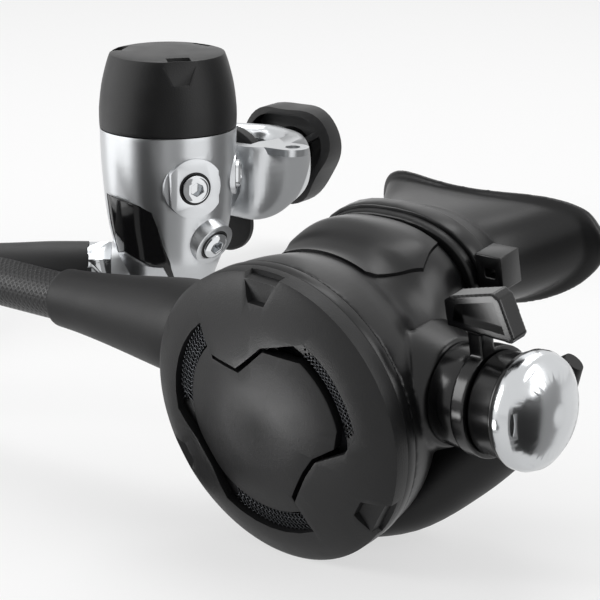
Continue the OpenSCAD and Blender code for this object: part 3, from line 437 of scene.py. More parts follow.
def gauze_tree():
    """Round strands that follow the edges given to it, repeated round the Y axis."""
    tree, source = grower(
        "Gauze", (("Wire", "Float"), ("Start", "Float"), ("Step", "Float"), ("Count", "Int"))
    )
    lines = add(tree, "GeometryNodeMeshToCurve", Mesh=source["Geometry"])
    wire = add(tree, "GeometryNodeCurvePrimitiveCircle", Resolution=6, Radius=source["Wire"])
    strand = add(
        tree, "GeometryNodeCurveToMesh",
        Curve=lines.outputs[0], Profile_Curve=wire.outputs[0], Fill_Caps=True,
    )
    points = add(tree, "GeometryNodePoints", Count=source["Count"])
    number = add(tree, "GeometryNodeInputIndex")
    turn = add(
        tree, "ShaderNodeMath", {"operation": "MULTIPLY_ADD"},
        i0=number.outputs[0], i1=source["Step"], i2=source["Start"],
    )
    facing = add(tree, "ShaderNodeCombineXYZ", Y=turn.outputs[0])
    copies = add(
        tree, "GeometryNodeInstanceOnPoints",
        Points=points.outputs[0], Instance=strand.outputs[0], Rotation=facing.outputs[0],
    )
    return grown_end(tree, copies.outputs[0], source["Material"])


def grown(name, tree, material, verts=(), edges=(), **values):
    """What a tree grows from some edges, still in the millimetres of its own place."""
    me = bpy.data.meshes.new(name)
    me.from_pydata(verts, edges, [])
    obj = bpy.data.objects.new(name, me)
    bpy.context.scene.collection.objects.link(obj)
    growth = obj.modifiers.new("Growth", "NODES")
    growth.node_group = tree
    values["Material"] = material
    for item in tree.interface.items_tree:
        if item.item_type == "SOCKET" and item.in_out == "INPUT" and item.name in values:
            growth[item.identifier] = values[item.name]
    settle(obj)
    if not obj.data.polygons:
        raise RuntimeError(f"{name} grew nothing")
    return obj


# ---------- Forms of the second stage ----------

# In its own millimetres: +X along the barrel, +Y back to the mouth

# The housing's sections from the rim back to the mouthpiece tube: y, bottom, top, half width, squareness
HOUSING = (
    (7.5, -36.3, 36.3, 36.3, 1), (11, -35.9, 35.9, 35.9, 1), (15, -35.2, 35.2, 35, 1),
    (19, -33.4, 34.2, 33.2, 1), (24, -28.5, 32.8, 30.4, 1), (29, -20, 33, 28, 0.95),
    (34, -9, 34.2, 26, 0.9), (40, -0.4, 34.6, 24.6, 0.88), (46, 2, 33.2, 23.2, 0.86),
)
# The tube that the mouthpiece's boot goes over, and the boot, in the same way
TUBE = ((45, 2.4, 31.8, 22.6, 0.86), (49, 2.6, 31.4, 22.4, 0.86), (58.5, 3.6, 30.4, 21.6, 0.86))
BOOT = (
    (47.4, 0.6, 33.6, 24.6, 0.86), (49, 0.2, 34, 24.9, 0.86), (54.6, 0.8, 33.4, 24.5, 0.86),
    (60, 2.4, 31.8, 23, 0.88), (66, 4.6, 29.4, 21, 0.9), (72, 4.8, 29, 22.4, 0.9), (76.4, 3, 29.6, 26, 0.9),
)
# Half of the tee's middle line, from its trunk to a tip, and its half depths and half heights
TEE_LINE = (
    (0, TEE[0], TEE_Z), (13, 30.6, TEE_Z + 3.6), (24, 36, -22.2), (34, 41, -14.6), (44, 45.4, -4.8),
    (53, 47.5, 5.4),
)
TEE_SECTION = ((TEE[1], TEE[2]), (13.8, 8.2), (12, 9.8), (10.4, 8.8), (8, 7.2), (2, 2.6))
# Half depths and half heights of the mouthpiece's flange, from its end to its middle
FLANGE = ((1.2, 1.6), (2, 6.4), (2.2, 10), (2.2, 12.6), (2.2, 14.2), (2.2, 15), (2.2, 15.4), (2.2, 15.5))
# The way for the air: half width, half height and the height of its middle
AIRWAY = (16.4, 9.2, 17.0)


def section_ring(section, grow, sides):
    """One section's points, grown outwards by so much."""
    y, low, high, half, squareness = section
    outline = oval(half + grow, (high - low) / 2 + grow, squareness, sides)
    return [(x, y, (low + high) / 2 + z) for x, z in outline]


def sections(rows, grow, sides=96, steps=6):
    """A skin through sections, grown outwards by so much, straight from one to the next if steps is 0."""
    return loft([section_ring(s, grow, sides) for s in (smooth(rows, steps) if steps else rows)])


def airway(less, start, end):
    """The stadium-shaped way for the air, along Y."""
    half, r, z = AIRWAY[0] - less, AIRWAY[1] - less, AIRWAY[2]
    ends = [math.radians(a) for a in range(-90, 91, 10)] + [math.radians(a) for a in range(90, 271, 10)]
    outline = []
    for i, a in enumerate(ends):
        side = math.cos(a) + (1e-9 if i < 19 else -1e-9)
        outline.append((math.copysign(half - r, side) + r * math.cos(a), z + r * math.sin(a)))
    return loft([[(x, y, h) for x, h in outline] for y in (start, end)])


def tee_form(less, shift, steps=6):
    """The tee's horns, thinner by so much all round and with their tips shifted back."""
    line = [Vector((p.x, p.y + shift * (p.x / 44) ** 2, p.z)) for p in smooth(TEE_LINE, steps)]
    line = [Vector((-p.x, p.y, p.z)) for p in line[:0:-1]] + line
    half = [(max(a - less, 0.3), max(b - less, 0.3)) for a, b in smooth(TEE_SECTION, steps)]
    return loft(along(line, half[::-1] + half[1:], 48))


def tie_ring(outside, inside, more):
    """The band's space round the boot."""
    corners = ((50 - more, outside), (54.6 + more, outside), (54.6 + more, inside), (50 - more, inside))
    return loft([section_ring((y, 1.2, 33, 24.2, 0.86), grow, 96) for y, grow in corners], closed=True)


def block(low, high):
    """A straight block from its lowest to its highest corner."""
    (x, y, z), (X, Y, Z) = low, high
    return loft([[(x, y, h), (X, y, h), (X, Y, h), (x, Y, h)] for h in (z, Z)])


# ---------- Materials ----------


def linear(code):
    """Linear RGBA of an sRGB hex colour."""
    out = []
    for i in (1, 3, 5):
        c = int(code[i : i + 2], 16) / 255
        out.append(c / 12.92 if c <= 0.04045 else ((c + 0.055) / 1.055) ** 2.4)
    return (*out, 1.0)


def finish(name, colour, roughness, metallic, ior=None):
    """A material with its shader; returns the material, its tree and the shader."""
    material = bpy.data.materials.new(name)
    material.use_nodes = True
    tree = material.node_tree
    shader = tree.nodes["Principled BSDF"]
    shader.inputs["Base Color"].default_value = linear(colour)
    shader.inputs["Roughness"].default_value = roughness
    shader.inputs["Metallic"].default_value = metallic
    if ior:
        shader.inputs["IOR"].default_value = ior
    return material, tree, shader


def place_of(tree, size_mm):
    """Object coordinates scaled so that one unit is so many millimetres."""
    where = add(tree, "ShaderNodeTexCoord").outputs["Object"]
    return add(tree, "ShaderNodeMapping", Vector=where, Scale=(1000 / size_mm,) * 3).outputs[0]


def grain(tree, shader, size_mm, depth_mm, detail, rough):
    """A fine bump, and a slight change of roughness over it."""
    noise = add(tree, "ShaderNodeTexNoise", Vector=place_of(tree, size_mm), Scale=1.0, Detail=detail)
    bump = add(tree, "ShaderNodeBump", Height=noise.outputs[0], Distance=depth_mm * MM, Strength=1.0)
    tree.links.new(bump.outputs[0], shader.inputs["Normal"])
    wide = add(tree, "ShaderNodeTexNoise", Vector=place_of(tree, size_mm * 14), Scale=1.0, Detail=3.0)
    spread = add(tree, "ShaderNodeMapRange", i0=wide.outputs[0], i3=rough[0], i4=rough[1])
    tree.links.new(spread.outputs[0], shader.inputs["Roughness"])


def make_materials():
    """Every finish on the set, by name."""
    m = {}
    # Satin chromium plate on forged brass: bright, with reflections softened by the blasted ground under it
    m["satin_chrome"], t, s = finish("Satin chrome plate", "#C0C2C4", 0.3, 1.0)
    grain(t, s, 0.25, 0.0015, 2.0, (0.27, 0.33))
    # Polished chromium plate: a clear mirror with hardly any haze
    m["chrome"], t, s = finish("Polished chrome plate", "#CDCFD1", 0.08, 1.0)
    grain(t, s, 1.4, 0.0012, 2.0, (0.06, 0.11))
    # Pearl chrome of the knob: between mirror and satin, so that its dome shades softly
    m["pearl_chrome"], t, s = finish("Pearl chrome plate", "#CBCDCF", 0.19, 1.0)
    grain(t, s, 0.9, 0.0012, 2.0, (0.16, 0.22))
    # Turned stainless steel of the inner parts: greyer than chrome, with a faint lathe haze
    m["steel"], t, s = finish("Turned stainless steel", "#A9ABAE", 0.3, 1.0)
    grain(t, s, 0.5, 0.004, 2.0, (0.26, 0.36))
    # Glass-filled nylon moulded in a spark-eroded tool: a dark, dry, finely grained skin
    m["cap_nylon"], t, s = finish("Moulded black nylon", "#0B0B0C", 0.4, 0.0, 1.38)
    grain(t, s, 0.45, 0.05, 3.0, (0.38, 0.5))
    # The front cover's softer graining
    m["cover_nylon"], t, s = finish("Grained cover nylon", "#0E0E0F", 0.42, 0.0, 1.4)
    grain(t, s, 0.4, 0.05, 3.0, (0.42, 0.52))
    # ABS with a smooth moulded skin: soft, clear highlights
    m["housing_abs"], t, s = finish("Smooth black ABS", "#0A0A0B", 0.28, 0.0, 1.42)
    grain(t, s, 1.2, 0.012, 2.0, (0.26, 0.36))
    # Smoked plastic of the sleeve and the lever: dark and almost glossy
    m["smoke"], t, s = finish("Glossy black acetal", "#070708", 0.18, 0.0, 1.45)
    grain(t, s, 1.6, 0.006, 2.0, (0.16, 0.24))
    # Lacquered inlay plate, dead smooth
    m["inlay"], t, s = finish("Black lacquered inlay", "#0B0B0C", 0.1, 0.0, 1.5)
    grain(t, s, 2.0, 0.003, 1.0, (0.08, 0.14))
    # Liquid silicone rubber of the mouthpiece: a soft sheen over a smooth skin
    m["silicone"], t, s = finish("Black silicone rubber", "#0A0A0B", 0.34, 0.0, 1.4)
    grain(t, s, 0.8, 0.015, 2.0, (0.32, 0.44))
    # Moulded rubber of the boots, cap and tee: duller than silicone
    m["rubber"], t, s = finish("Moulded rubber", "#0D0D0E", 0.46, 0.0, 1.4)
    grain(t, s, 0.6, 0.03, 3.0, (0.45, 0.58))
    # Blackened stainless wire of the gauze: dark, with a thin bright line on each strand
    m["gauze"], t, s = finish("Blackened steel gauze", "#3A3B3D", 0.34, 1.0)
    grain(t, s, 0.6, 0.01, 2.0, (0.28, 0.42))
    m["hose"] = hose_cover()
    # Translucent grey silicone of the diaphragm and the exhaust flap
    m["clear_silicone"], t, s = finish("Grey silicone sheet", "#5A5C60", 0.4, 0.0, 1.41)
    grain(t, s, 0.9, 0.01, 2.0, (0.36, 0.48))
    # Sintered bronze of the filter: a coarse, warm, porous metal
    m["bronze"], t, s = finish("Sintered bronze", "#A0814F", 0.55, 1.0)
    grain(t, s, 0.3, 0.08, 3.0, (0.5, 0.65))
    return m


def hose_cover():
    """Nitrile hose cover cured under a woven wrap, which leaves its cloth's print in the rubber."""
    material, tree, shader = finish("Wrapped hose rubber", "#161617", 0.44, 0.0, 1.45)
    uv = add(tree, "ShaderNodeUVMap", {"uv_map": "Run"})
    # The print's threads are about 1.3 mm apart: drawn twice the real pitch so that they show
    bands = {"wave_type": "BANDS", "bands_direction": "X"}
    wave = []
    for slant in (38, -38):
        run = add(tree, "ShaderNodeMapping", Vector=uv.outputs[0], Rotation=(0, 0, math.radians(slant)))
        wave.append(add(tree, "ShaderNodeTexWave", bands, Vector=run.outputs[0], Scale=0.24))
    higher = {"operation": "MAXIMUM"}
    woven = add(tree, "ShaderNodeMath", higher, i0=wave[0].outputs[1], i1=wave[1].outputs[1])
    bump = add(tree, "ShaderNodeBump", Height=woven.outputs[0], Distance=0.12 * MM, Strength=1.0)
    tree.links.new(bump.outputs[0], shader.inputs["Normal"])
    spread = add(tree, "ShaderNodeMapRange", i0=woven.outputs[0], i3=0.56, i4=0.4)
    tree.links.new(spread.outputs[0], shader.inputs["Roughness"])
    return material


# ---------- Sizes and colours that a user would change ----------


class RegulatorLooks(bpy.types.PropertyGroup):
    hose_diameter: bpy.props.FloatProperty(
        name="Hose diameter", description="Outside diameter of the hose", default=0.0125, unit="LENGTH"
    )
    floor_tone: bpy.props.FloatVectorProperty(
        name="Floor", description="Colour of the floor",
        default=(0.8, 0.8, 0.8), subtype="COLOR", min=0, max=1,
    )
    key_power: bpy.props.FloatProperty(
        name="Key light", description="Power of the main light", default=6.0, unit="POWER"
    )


MATERIALS = {}

# ---------- Stage: metres and degrees ----------

SENSOR = 36.0
# The camera's focal length and the picture's width, in pixels
FOCAL, PICTURE = 3024.0, 600.0
CAMERA_AT = (0.0414, -0.9309, 0.2468)
CAMERA_TILT = 75.0
FLOOR_HALF = 6.0
# What the lamps point at: the middle of the set
LAMPS_AIM = Vector((0.03, -0.15, 0.03))
# Cards round the first stage and round the adjustment knob: the headings that each spans, and its level
FIRST_STAGE_CARDS = (
    ("Edge_card", 219, 228, 0.4), ("Dark_card", 228, 266, 0.03), ("Grey_card", 266, 294, 0.4),
    ("Light_card", 294, 334, 1.25), ("Right_card", 334, 368, 0.2), ("Back_card", 368, 400, 0.45),
)
KNOB_CARDS = (
    ("Knob_grey_card", 258, 282, 0.3), ("Knob_dark_card", 282, 345, 0.03),
    ("Knob_edge_card", 345, 375, 0.35),
)
KNOB_AT = (0.1, -0.275)


def seen_share(tree, share):
    """A factor for what the camera, a metal or a glass sees, and 0 for what only lights the object."""
    path = add(tree, "ShaderNodeLightPath")
    eyes = add(tree, "ShaderNodeMath", i0=path.outputs["Is Camera Ray"], i1=path.outputs["Is Glossy Ray"])
    glass = path.outputs["Is Transmission Ray"]
    eyes = add(tree, "ShaderNodeMath", {"use_clamp": True}, i0=eyes.outputs[0], i1=glass)
    return add(tree, "ShaderNodeMath", {"operation": "MULTIPLY"}, i0=eyes.outputs[0], i1=share).outputs[0]


def make_camera(scene):
    """The camera, which looks down at the set from the front."""
    cam = bpy.data.cameras.new("Camera")
    cam.sensor_width = SENSOR
    cam.lens = SENSOR * FOCAL / PICTURE
    cam.clip_start, cam.clip_end = 0.05, 20.0
    view = bpy.data.objects.new("Camera", cam)
    view.location = CAMERA_AT
    view.rotation_euler = (math.radians(CAMERA_TILT), 0.0, 0.0)
    scene.collection.objects.link(view)
    scene.camera = view


def make_floor(scene, tone):
    """A pale paper floor, which keeps the set's shadow and doesn't mirror the cards."""
    me = bpy.data.meshes.new("Floor")
    s = FLOOR_HALF
    me.from_pydata([(-s, -s, 0), (s, -s, 0), (s, s, 0), (-s, s, 0)], [], [(0, 1, 2, 3)])
    floor = bpy.data.objects.new("Floor", me)
    scene.collection.objects.link(floor)
    paper = bpy.data.materials.new("White paper sweep")
    paper.use_nodes = True
    tree = paper.node_tree
    shader = tree.nodes["Principled BSDF"]
    shader.inputs["Base Color"].default_value = (*tone, 1.0)
    shader.inputs["Roughness"].default_value = 0.8
    shader.inputs["Specular IOR Level"].default_value = 0.0
    glow = add(tree, "ShaderNodeEmission", Color=(1, 1, 1, 1), Strength=1.0)
    seen = seen_share(tree, 0.62)
    both = add(tree, "ShaderNodeMixShader", i0=seen, i1=shader.outputs[0], i2=glow.outputs[0])
    tree.links.new(both.outputs[0], tree.nodes["Material Output"].inputs["Surface"])
    me.materials.append(paper)
    floor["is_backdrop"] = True


def make_world(scene):
    """A white backdrop for what is seen or mirrored, and a dimmer room that lights the set."""
    world = bpy.data.worlds.new("Studio")
    world.use_nodes = True
    tree = world.node_tree
    tree.nodes.clear()
    backdrop = add(tree, "ShaderNodeBackground", Color=(1, 1, 1, 1), Strength=1.0)
    room = add(tree, "ShaderNodeBackground", Color=(1, 1, 1, 1), Strength=0.35)
    seen = seen_share(tree, 1.0)
    both = add(tree, "ShaderNodeMixShader", i0=seen, i1=room.outputs[0], i2=backdrop.outputs[0])
    add(tree, "ShaderNodeOutputWorld", Surface=both.outputs[0])
    scene.world = world


def lamp(name, place, size, power, tall=None):
    """A soft lamp that points at the middle of the set."""
    data = bpy.data.lights.new(name, "AREA")
    data.energy = power
    data.shape = "RECTANGLE"
    data.size = size
    data.size_y = tall or size
    obj = bpy.data.objects.new(name, data)
    obj.location = place
    obj.rotation_euler = (LAMPS_AIM - Vector(place)).to_track_quat("-Z", "Y").to_euler()
    bpy.context.scene.collection.objects.link(obj)


def card(name, level, corners):
    """A card beside the set, which only the set's gloss sees, so that bright metal shows its form."""
    me = bpy.data.meshes.new(name)
    me.from_pydata(corners, [], [(0, 1, 2, 3)])
    obj = bpy.data.objects.new(name, me)
    obj.visible_camera = obj.visible_diffuse = obj.visible_shadow = obj.visible_transmission = False
    felt = bpy.data.materials.new(name)
    felt.use_nodes = True
    felt.node_tree.nodes.clear()
    glow = add(felt.node_tree, "ShaderNodeEmission", Color=(1, 1, 1, 1), Strength=level)
    add(felt.node_tree, "ShaderNodeOutputMaterial", Surface=glow.outputs[0])
    me.materials.append(felt)
    bpy.context.scene.collection.objects.link(obj)
    obj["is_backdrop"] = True


def screen(name, start, end, level, near=(0.03, 0.001), far=(0.2, 0.26), middle=(0, 0)):
    """A card round a middle, from heading to heading, with a near and a far edge of (radius, height)."""
    heads = [(math.cos(math.radians(turn)), math.sin(math.radians(turn))) for turn in (start, end)]
    corners = [(middle[0] + r * x, middle[1] + r * y, z)
               for (r, z), turns in ((near, heads), (far, heads[::-1])) for x, y in turns]
    card(name, level, corners)


def sheet(name, level, left, right, front, back, height):
    """A card that lies just above the floor."""
    corners = ((left, front), (right, front), (right, back), (left, back))
    card(name, level, [(x, y, height) for x, y in corners])


class REGULATOR_OT_stage(bpy.types.Operator):
    """Camera, floor, world, lamps and the cards that the metal mirrors"""

    bl_idname = "regulator.stage"
    bl_label = "Stage"

    def execute(self, context):
        scene = context.scene
        looks = scene.regulator_looks
        make_camera(scene)
        make_floor(scene, looks.floor_tone)
        make_world(scene)
        lamp("Key", (-0.95, -0.3, 0.42), 0.5, looks.key_power, 0.6)
        lamp("Fill", (0.85, -0.5, 0.45), 0.35, looks.key_power * 0.5, 0.8)
        lamp("Top", (0.1, 0.25, 0.9), 0.7, looks.key_power)
        screen("White_card", 155, 219, 1.9, near=(0.1, 0.004), far=(0.101, 0.3))
        screen("Foot_card", 150, 228, 0.01, near=(0.02, 0.001), far=(0.1, 0.002))
        for name, start, end, level in FIRST_STAGE_CARDS:
            screen(name, start, end, level)
        for name, start, end, level in KNOB_CARDS:
            screen(name, start, end, level, (0.03, 0.001), (0.14, 0.07), KNOB_AT)
        sheet("Cover_dark_card", 0.12, -0.16, 0.01, -0.36, -0.2, 0.001)
        sheet("Cover_light_card", 10, -0.085, -0.015, -0.305, -0.25, 0.002)
        scene.view_settings.view_transform = "Standard"
        return {"FINISHED"}


# ---------- Hose ----------


# Where the hose passes its boot's end, lies inside the boot and ends, from the first stage's axis
FIRST_HOSE = (64.7, 50.3, 36.35)
# The loop on the floor: its middle, its first radius, the step inwards at each turn, and its first heading
LOOP_AT = (-134, -54)
LOOP_R, LOOP_STEP, LOOP_START = 74, 13.1, 271
# The hump where the loop passes over itself: after how many degrees, over how many, and its spare height
HUMP_AT, HUMP_RUN, HUMP_SPARE = 220.5, 38, 1.9


def in_second(x, y, z):
    """A place in the second stage, in the row's millimetres."""
    return MILLIMETRES.inverted() @ IN_SECOND @ Vector((x, y, z))


def hose_route(steps):
    """The hose's centreline in millimetres, from the second stage to the first."""
    ground = HOSE_R + 0.05
    high = in_second(0, *BARREL).z - ground

    def fall(run):
        """The height that is left after a run, from the second stage's height down to the floor."""
        return high * (1 + math.cos(math.pi * min(run / 160, 1))) / 2

    route = [in_second(-x, *BARREL) for x in (FERRULE_END, 76, 94)]
    for (x, y), run in zip(((-54, -143), (-73, -131.5), (-95, -128.3), (-114, -128)), (0, 22, 44, 63)):
        route.append(Vector((x, y, ground + fall(run))))
    for k in range(31):
        t = 18 * k
        r, a = LOOP_R - LOOP_STEP * t / 360, math.radians(LOOP_START - t)
        hump = (2 * HOSE_R + HUMP_SPARE) * math.exp(-(((t - HUMP_AT) / HUMP_RUN) ** 2))
        z = ground + fall(82 + 1.29 * t) + hump
        route.append(Vector((LOOP_AT[0] + r * math.cos(a), LOOP_AT[1] + r * math.sin(a), z)))
    route += [Vector(p) for p in ((-112, 0, ground), (-90, 0, ground + 0.2), (-74, 0, ground + 1.2))]
    route += [Vector((-x, 0, PORT_Z)) for x in FIRST_HOSE]
    return smooth(route, steps)


class REGULATOR_OT_hose(bpy.types.Operator):
    """The low-pressure hose: one tube, in a loop beside the set"""

    bl_idname = "regulator.hose"
    bl_label = "Hose"

    def execute(self, context):
        route = hose_route(8)
        diameter = context.scene.regulator_looks.hose_diameter
        sides = 28
        rings = along(route, [(diameter / 2 / MM, diameter / 2 / MM)], sides)
        hose = piece("hose", loft(rings), IN_ROW, MATERIALS["hose"], nodes=["lp_hose"], slot="rubber")
        # How far along the hose, and how far round it, each corner lies, in millimetres
        run = [0.0]
        for a, b in zip(route, route[1:]):
            run.append(run[-1] + (b - a).length)
        layer = hose.data.uv_layers.new(name="Run")
        for face in hose.data.polygons:
            around = [v % sides for v in face.vertices]
            seam = max(around) - min(around) > 1
            for loop, vertex in zip(face.loop_indices, face.vertices):
                k, i = divmod(vertex, sides)
                i = sides if seam and i == 0 else i
                layer.data[loop].uv = (run[min(k, len(run) - 1)], i / sides * math.pi * diameter / MM)
        return {"FINISHED"}


# ---------- First stage ----------


# The plugged ports: turn, height, tilt and how far each plug's groove lies from the body's axis
PLUGS = ((24, 38.3, 0, 22.1849), (88, 39, 0, 21.3411), (46, 20, 26, 22.6281), (205, 39, 0, 21.3411))
# The body's radius at the height of the tilted port
PLUG_WALL = 18.361


class REGULATOR_OT_first_stage(bpy.types.Operator):
    """Body, end cap, inlay, plugs and the seals between them"""

    bl_idname = "regulator.first_stage"
    bl_label = "First stage"

    def execute(self, context):
        dressed("first_stage_body", MATERIALS["satin_chrome"], 0.35)
        dressed("end_cap", MATERIALS["cap_nylon"], 0.4)
        dressed("label_inlay", MATERIALS["inlay"], 0.15)
        dressed("port_plugs", MATERIALS["chrome"], 0.2)
        rows = []
        for turn, height, tilt, reach in PLUGS:
            rise = PLUG_WALL * math.tan(math.radians(tilt)) if tilt else 0
            axis = (
                Matrix.Translation((0, 0, rise)) @ Matrix.Rotation(math.radians(turn - 90), 4, "Z")
                @ Matrix.Translation((0, 0, height)) @ Matrix.Rotation(math.radians(90 + tilt), 4, "Y")
            )
            rows.append(moved(axis, ring(4.75, 0.39, height=reach - 0.3)))
        piece("plug_rings", joined(*rows), IN_ROW, MATERIALS["rubber"], nodes=["port_plug_seals"])
        return {"FINISHED"}


# Half of the stirrup's middle line, and its half thickness, half height and rise
YOKE_LINE = (
    (25.5, 0, 0), (25.6, 8, 0), (27.1, 14.2, 0), (31.6, 17.5, 0), (38, 18.6, 0),
    (44.5, 17.5, 0), (50.5, 13.6, 0), (54.2, 8, 0), (56.6, 0, 0),
)
YOKE_SECTION = (
    (3.2, 12.6, 0), (3.6, 12.8, 0), (5.8, 13.3, 0), (6.8, 12.8, 0.5), (6.4, 11, 1.4),
    (5.9, 9.8, 1.8), (5.3, 9.2, 2), (4.9, 9, 2), (4.8, 9, 2),
)
# Where the yoke's inlet ring begins and ends along the screw's axis, and where the dust cap lies
RING_BACK, RING_FRONT, CAP_AT = 22.1, 27.1, 30.8
SCREW_BORE_R = 4.86
# The lip: the middle of its round end, its half width, its tether hole's radius, and its two faces' heights
LIP_X, LIP_Y, LIP_HALF, TETHER_R = 31, -26.5, 5.2, 2.4
LIP_UNDER, LIP_TOP = 9, 11.2


def yoke_forging():
    """The stirrup, one forging: a bulb round the knob's thread, drawn in to the inlet."""
    half = smooth(YOKE_LINE, 6)
    size = smooth(YOKE_SECTION, 6)
    line = [Vector((p.x, -p.y, 0)) for p in half] + [p.copy() for p in half[-2:0:-1]]
    size = size + size[-2:0:-1]
    rings = []
    for i, p in enumerate(line):
        t = (line[(i + 1) % len(line)] - line[i - 1]).normalized()
        u = t.cross(Vector((0, 0, 1))).normalized()
        thick, high, rise = size[i]
        rings.append([p + u * x + Vector((0, 0, rise + z)) for x, z in oval(thick, high, 0.8, 40)])
    forging = fused(
        "Forging", 0.45, 5, loft(rings, closed=True), moved(ALONG_X, rod(13, RING_BACK, RING_FRONT)),
        moved(ALONG_X, turned([(0, 52), (10, 52), (10, 62), (7.4, 65), (0, 65)], 72)),
    )
    shaped(forging, block((21, -40, LIP_TOP), (60, 40, 31)))
    lip = block((LIP_X - LIP_HALF, LIP_Y, LIP_UNDER), (LIP_X + LIP_HALF, -18.5, LIP_TOP))
    shaped(forging, lip, "UNION")
    lip_end = Matrix.Translation((LIP_X, LIP_Y, 0))
    shaped(forging, moved(lip_end, rod(LIP_HALF, LIP_UNDER, LIP_TOP)), "UNION")
    for cut in (
        moved(lip_end, rod(TETHER_R, 8, 14, 40)),
        rod(22.3, -30, 30, 128),
        moved(ALONG_X, rod(8.3, 20, 30)),
        moved(ALONG_X, rod(12.9, 0, RING_BACK)),
        block((RING_FRONT, -12.9, -30), (46, 12.9, 30)),
        moved(ALONG_X, rod(12.6, RING_FRONT, 33.1)),
        moved(ALONG_X, rod(SCREW_BORE_R, 30, 90)),
        moved(ALONG_X, rod(7.3, 38, 57.2)),
    ):
        shaped(forging, cut)
    return forging


def dust_cap():
    """A flat moulding: a disc with flat sides that fit between the arms, and a pull tab below."""
    rim = [(0, 0), (13.6, 0), (15, 0.8), (15, 4.2), (13.6, 5), (0, 5)]
    disc = fused("Disc", 0.3, 3, moved(ALONG_X, turned(rim, 72)))
    shaped(disc, block((-1, -12.6, -30), (9, 12.6, 30)), "INTERSECT")
    pull = [(0, 0.8), (8.8, 0.8), (9.4, 1.4), (9.4, 3.2), (8.8, 3.8), (0, 3.8)]
    shaped(disc, moved(Matrix.Translation((0, 0, -17)) @ ALONG_X, turned(pull, 72)), "UNION")
    shaped(disc, moved(ALONG_X, rod(8, 4.2, 8)))
    shaped(disc, moved(ALONG_X, rod(7, -1, 0.8)))
    return disc


class REGULATOR_OT_yoke(bpy.types.Operator):
    """Yoke, retainer, screw, turning knob and dust cap"""

    bl_idname = "regulator.yoke"
    bl_label = "Yoke"

    def execute(self, context):
        satin = MATERIALS["satin_chrome"]
        piece("yoke_forging", yoke_forging(), AT_YOKE, satin, nodes=["yoke"], slot=slot_of("yoke"))
        dressed("yoke_retainer", MATERIALS["chrome"], 0.3)
        dressed("inlet_filter", MATERIALS["bronze"], 0)
        place = AT_YOKE @ Matrix.Translation((CAP_AT, 0, 0))
        piece("soft_dust_cap", dust_cap(), place, MATERIALS["rubber"], body_of("dust_cap"), ["dust_cap"])
        dressed("yoke_screw", MATERIALS["chrome"], 0.2)
        dressed("screw_pad", MATERIALS["steel"], 0.3)
        dressed("yoke_knob", MATERIALS["cap_nylon"], 0.9, 3)
        return {"FINISHED"}


# The boots from their wide ends: outsides, and the insides back from the tip, over the hose and the ferrule
SECOND_BOOT = (
    (11.6, 0), (12.25, 0.5), (12.4, 1.4), (12.2, 7), (11.2, 15), (10, 24), (8.9, 33), (8.1, 41),
    (7.75, 46), (7.6, 48.4), (7, 49),
)
SECOND_BOOT_BORE = [(7, 49), (6.27, 49), (6.27, 13), (8.62, 13), (8.62, 0), (11.6, 0)]
FIRST_BOOT = ((7.6, 0), (7.9, 0.3), (8, 1), (8, 12), (7.6, 22), (7.3, 32), (7.2, 37), (6.8, 38))
FIRST_BOOT_BORE = [(6.8, 38), (6.27, 38), (6.27, 10.6), (7.12, 10.6), (7.12, 0), (7.6, 0)]
# How far the boots' wide ends lie from the housing's middle and from the first stage's axis
SECOND_BOOT_AT, FIRST_BOOT_AT = 44, 25.7031


class REGULATOR_OT_fittings(bpy.types.Operator):
    """Swivel nuts, ferrules and the rubber boots over them"""

    bl_idname = "regulator.fittings"
    bl_label = "Hose fittings"

    def execute(self, context):
        for node in ("hose_first_fitting", "inlet_nut"):
            dressed(node, MATERIALS["chrome"], 0.3)
        dressed("hose_second_fitting", MATERIALS["steel"], 0.3)
        flip = Matrix.Rotation(math.radians(180), 4, "X")
        second = AT_BARREL @ flip @ Matrix.Translation((0, 0, SECOND_BOOT_AT))
        to_left = Matrix.Rotation(math.radians(-90), 4, "Y")
        first = IN_ROW @ Matrix.Translation((-FIRST_BOOT_AT, 0, PORT_Z)) @ to_left
        for name, node, outside, bore, place in (
            ("second_boot", "hose_second_boot", SECOND_BOOT, SECOND_BOOT_BORE, second),
            ("first_boot", "hose_first_boot", FIRST_BOOT, FIRST_BOOT_BORE, first),
        ):
            piece(name, turned(eased(outside, 5) + bore, 96), place, MATERIALS["rubber"], nodes=[node])
        return {"FINISHED"}


# The venturi lever's paddle and its sunk face, across and up from the barrel's axis
PADDLE = ((39.4, 19.4), (57.6, 18.2), (58.4, 19.4), (55.4, 28.6), (53.4, 29.8), (41, 27), (39, 25.6))
PADDLE_FACE = ((41.2, 21), (56, 20.1), (53.6, 27.8), (42.2, 25.2))
# The outline of the raised field on the housing's top, across and back
FIELD = ((-13, 23), (13, 23), (15, 25), (20.5, 35), (17.2, 45), (-17.2, 45), (-20.5, 35), (-15, 25))
# The gauze: each window's middle and half width in degrees, the strands' spacing, and a strand's points
GAUZE_WINDOWS = ((30, 22), (155, 25), (265, 25))
GAUZE_SPACING = 1.35
GAUZE_POINTS = 25


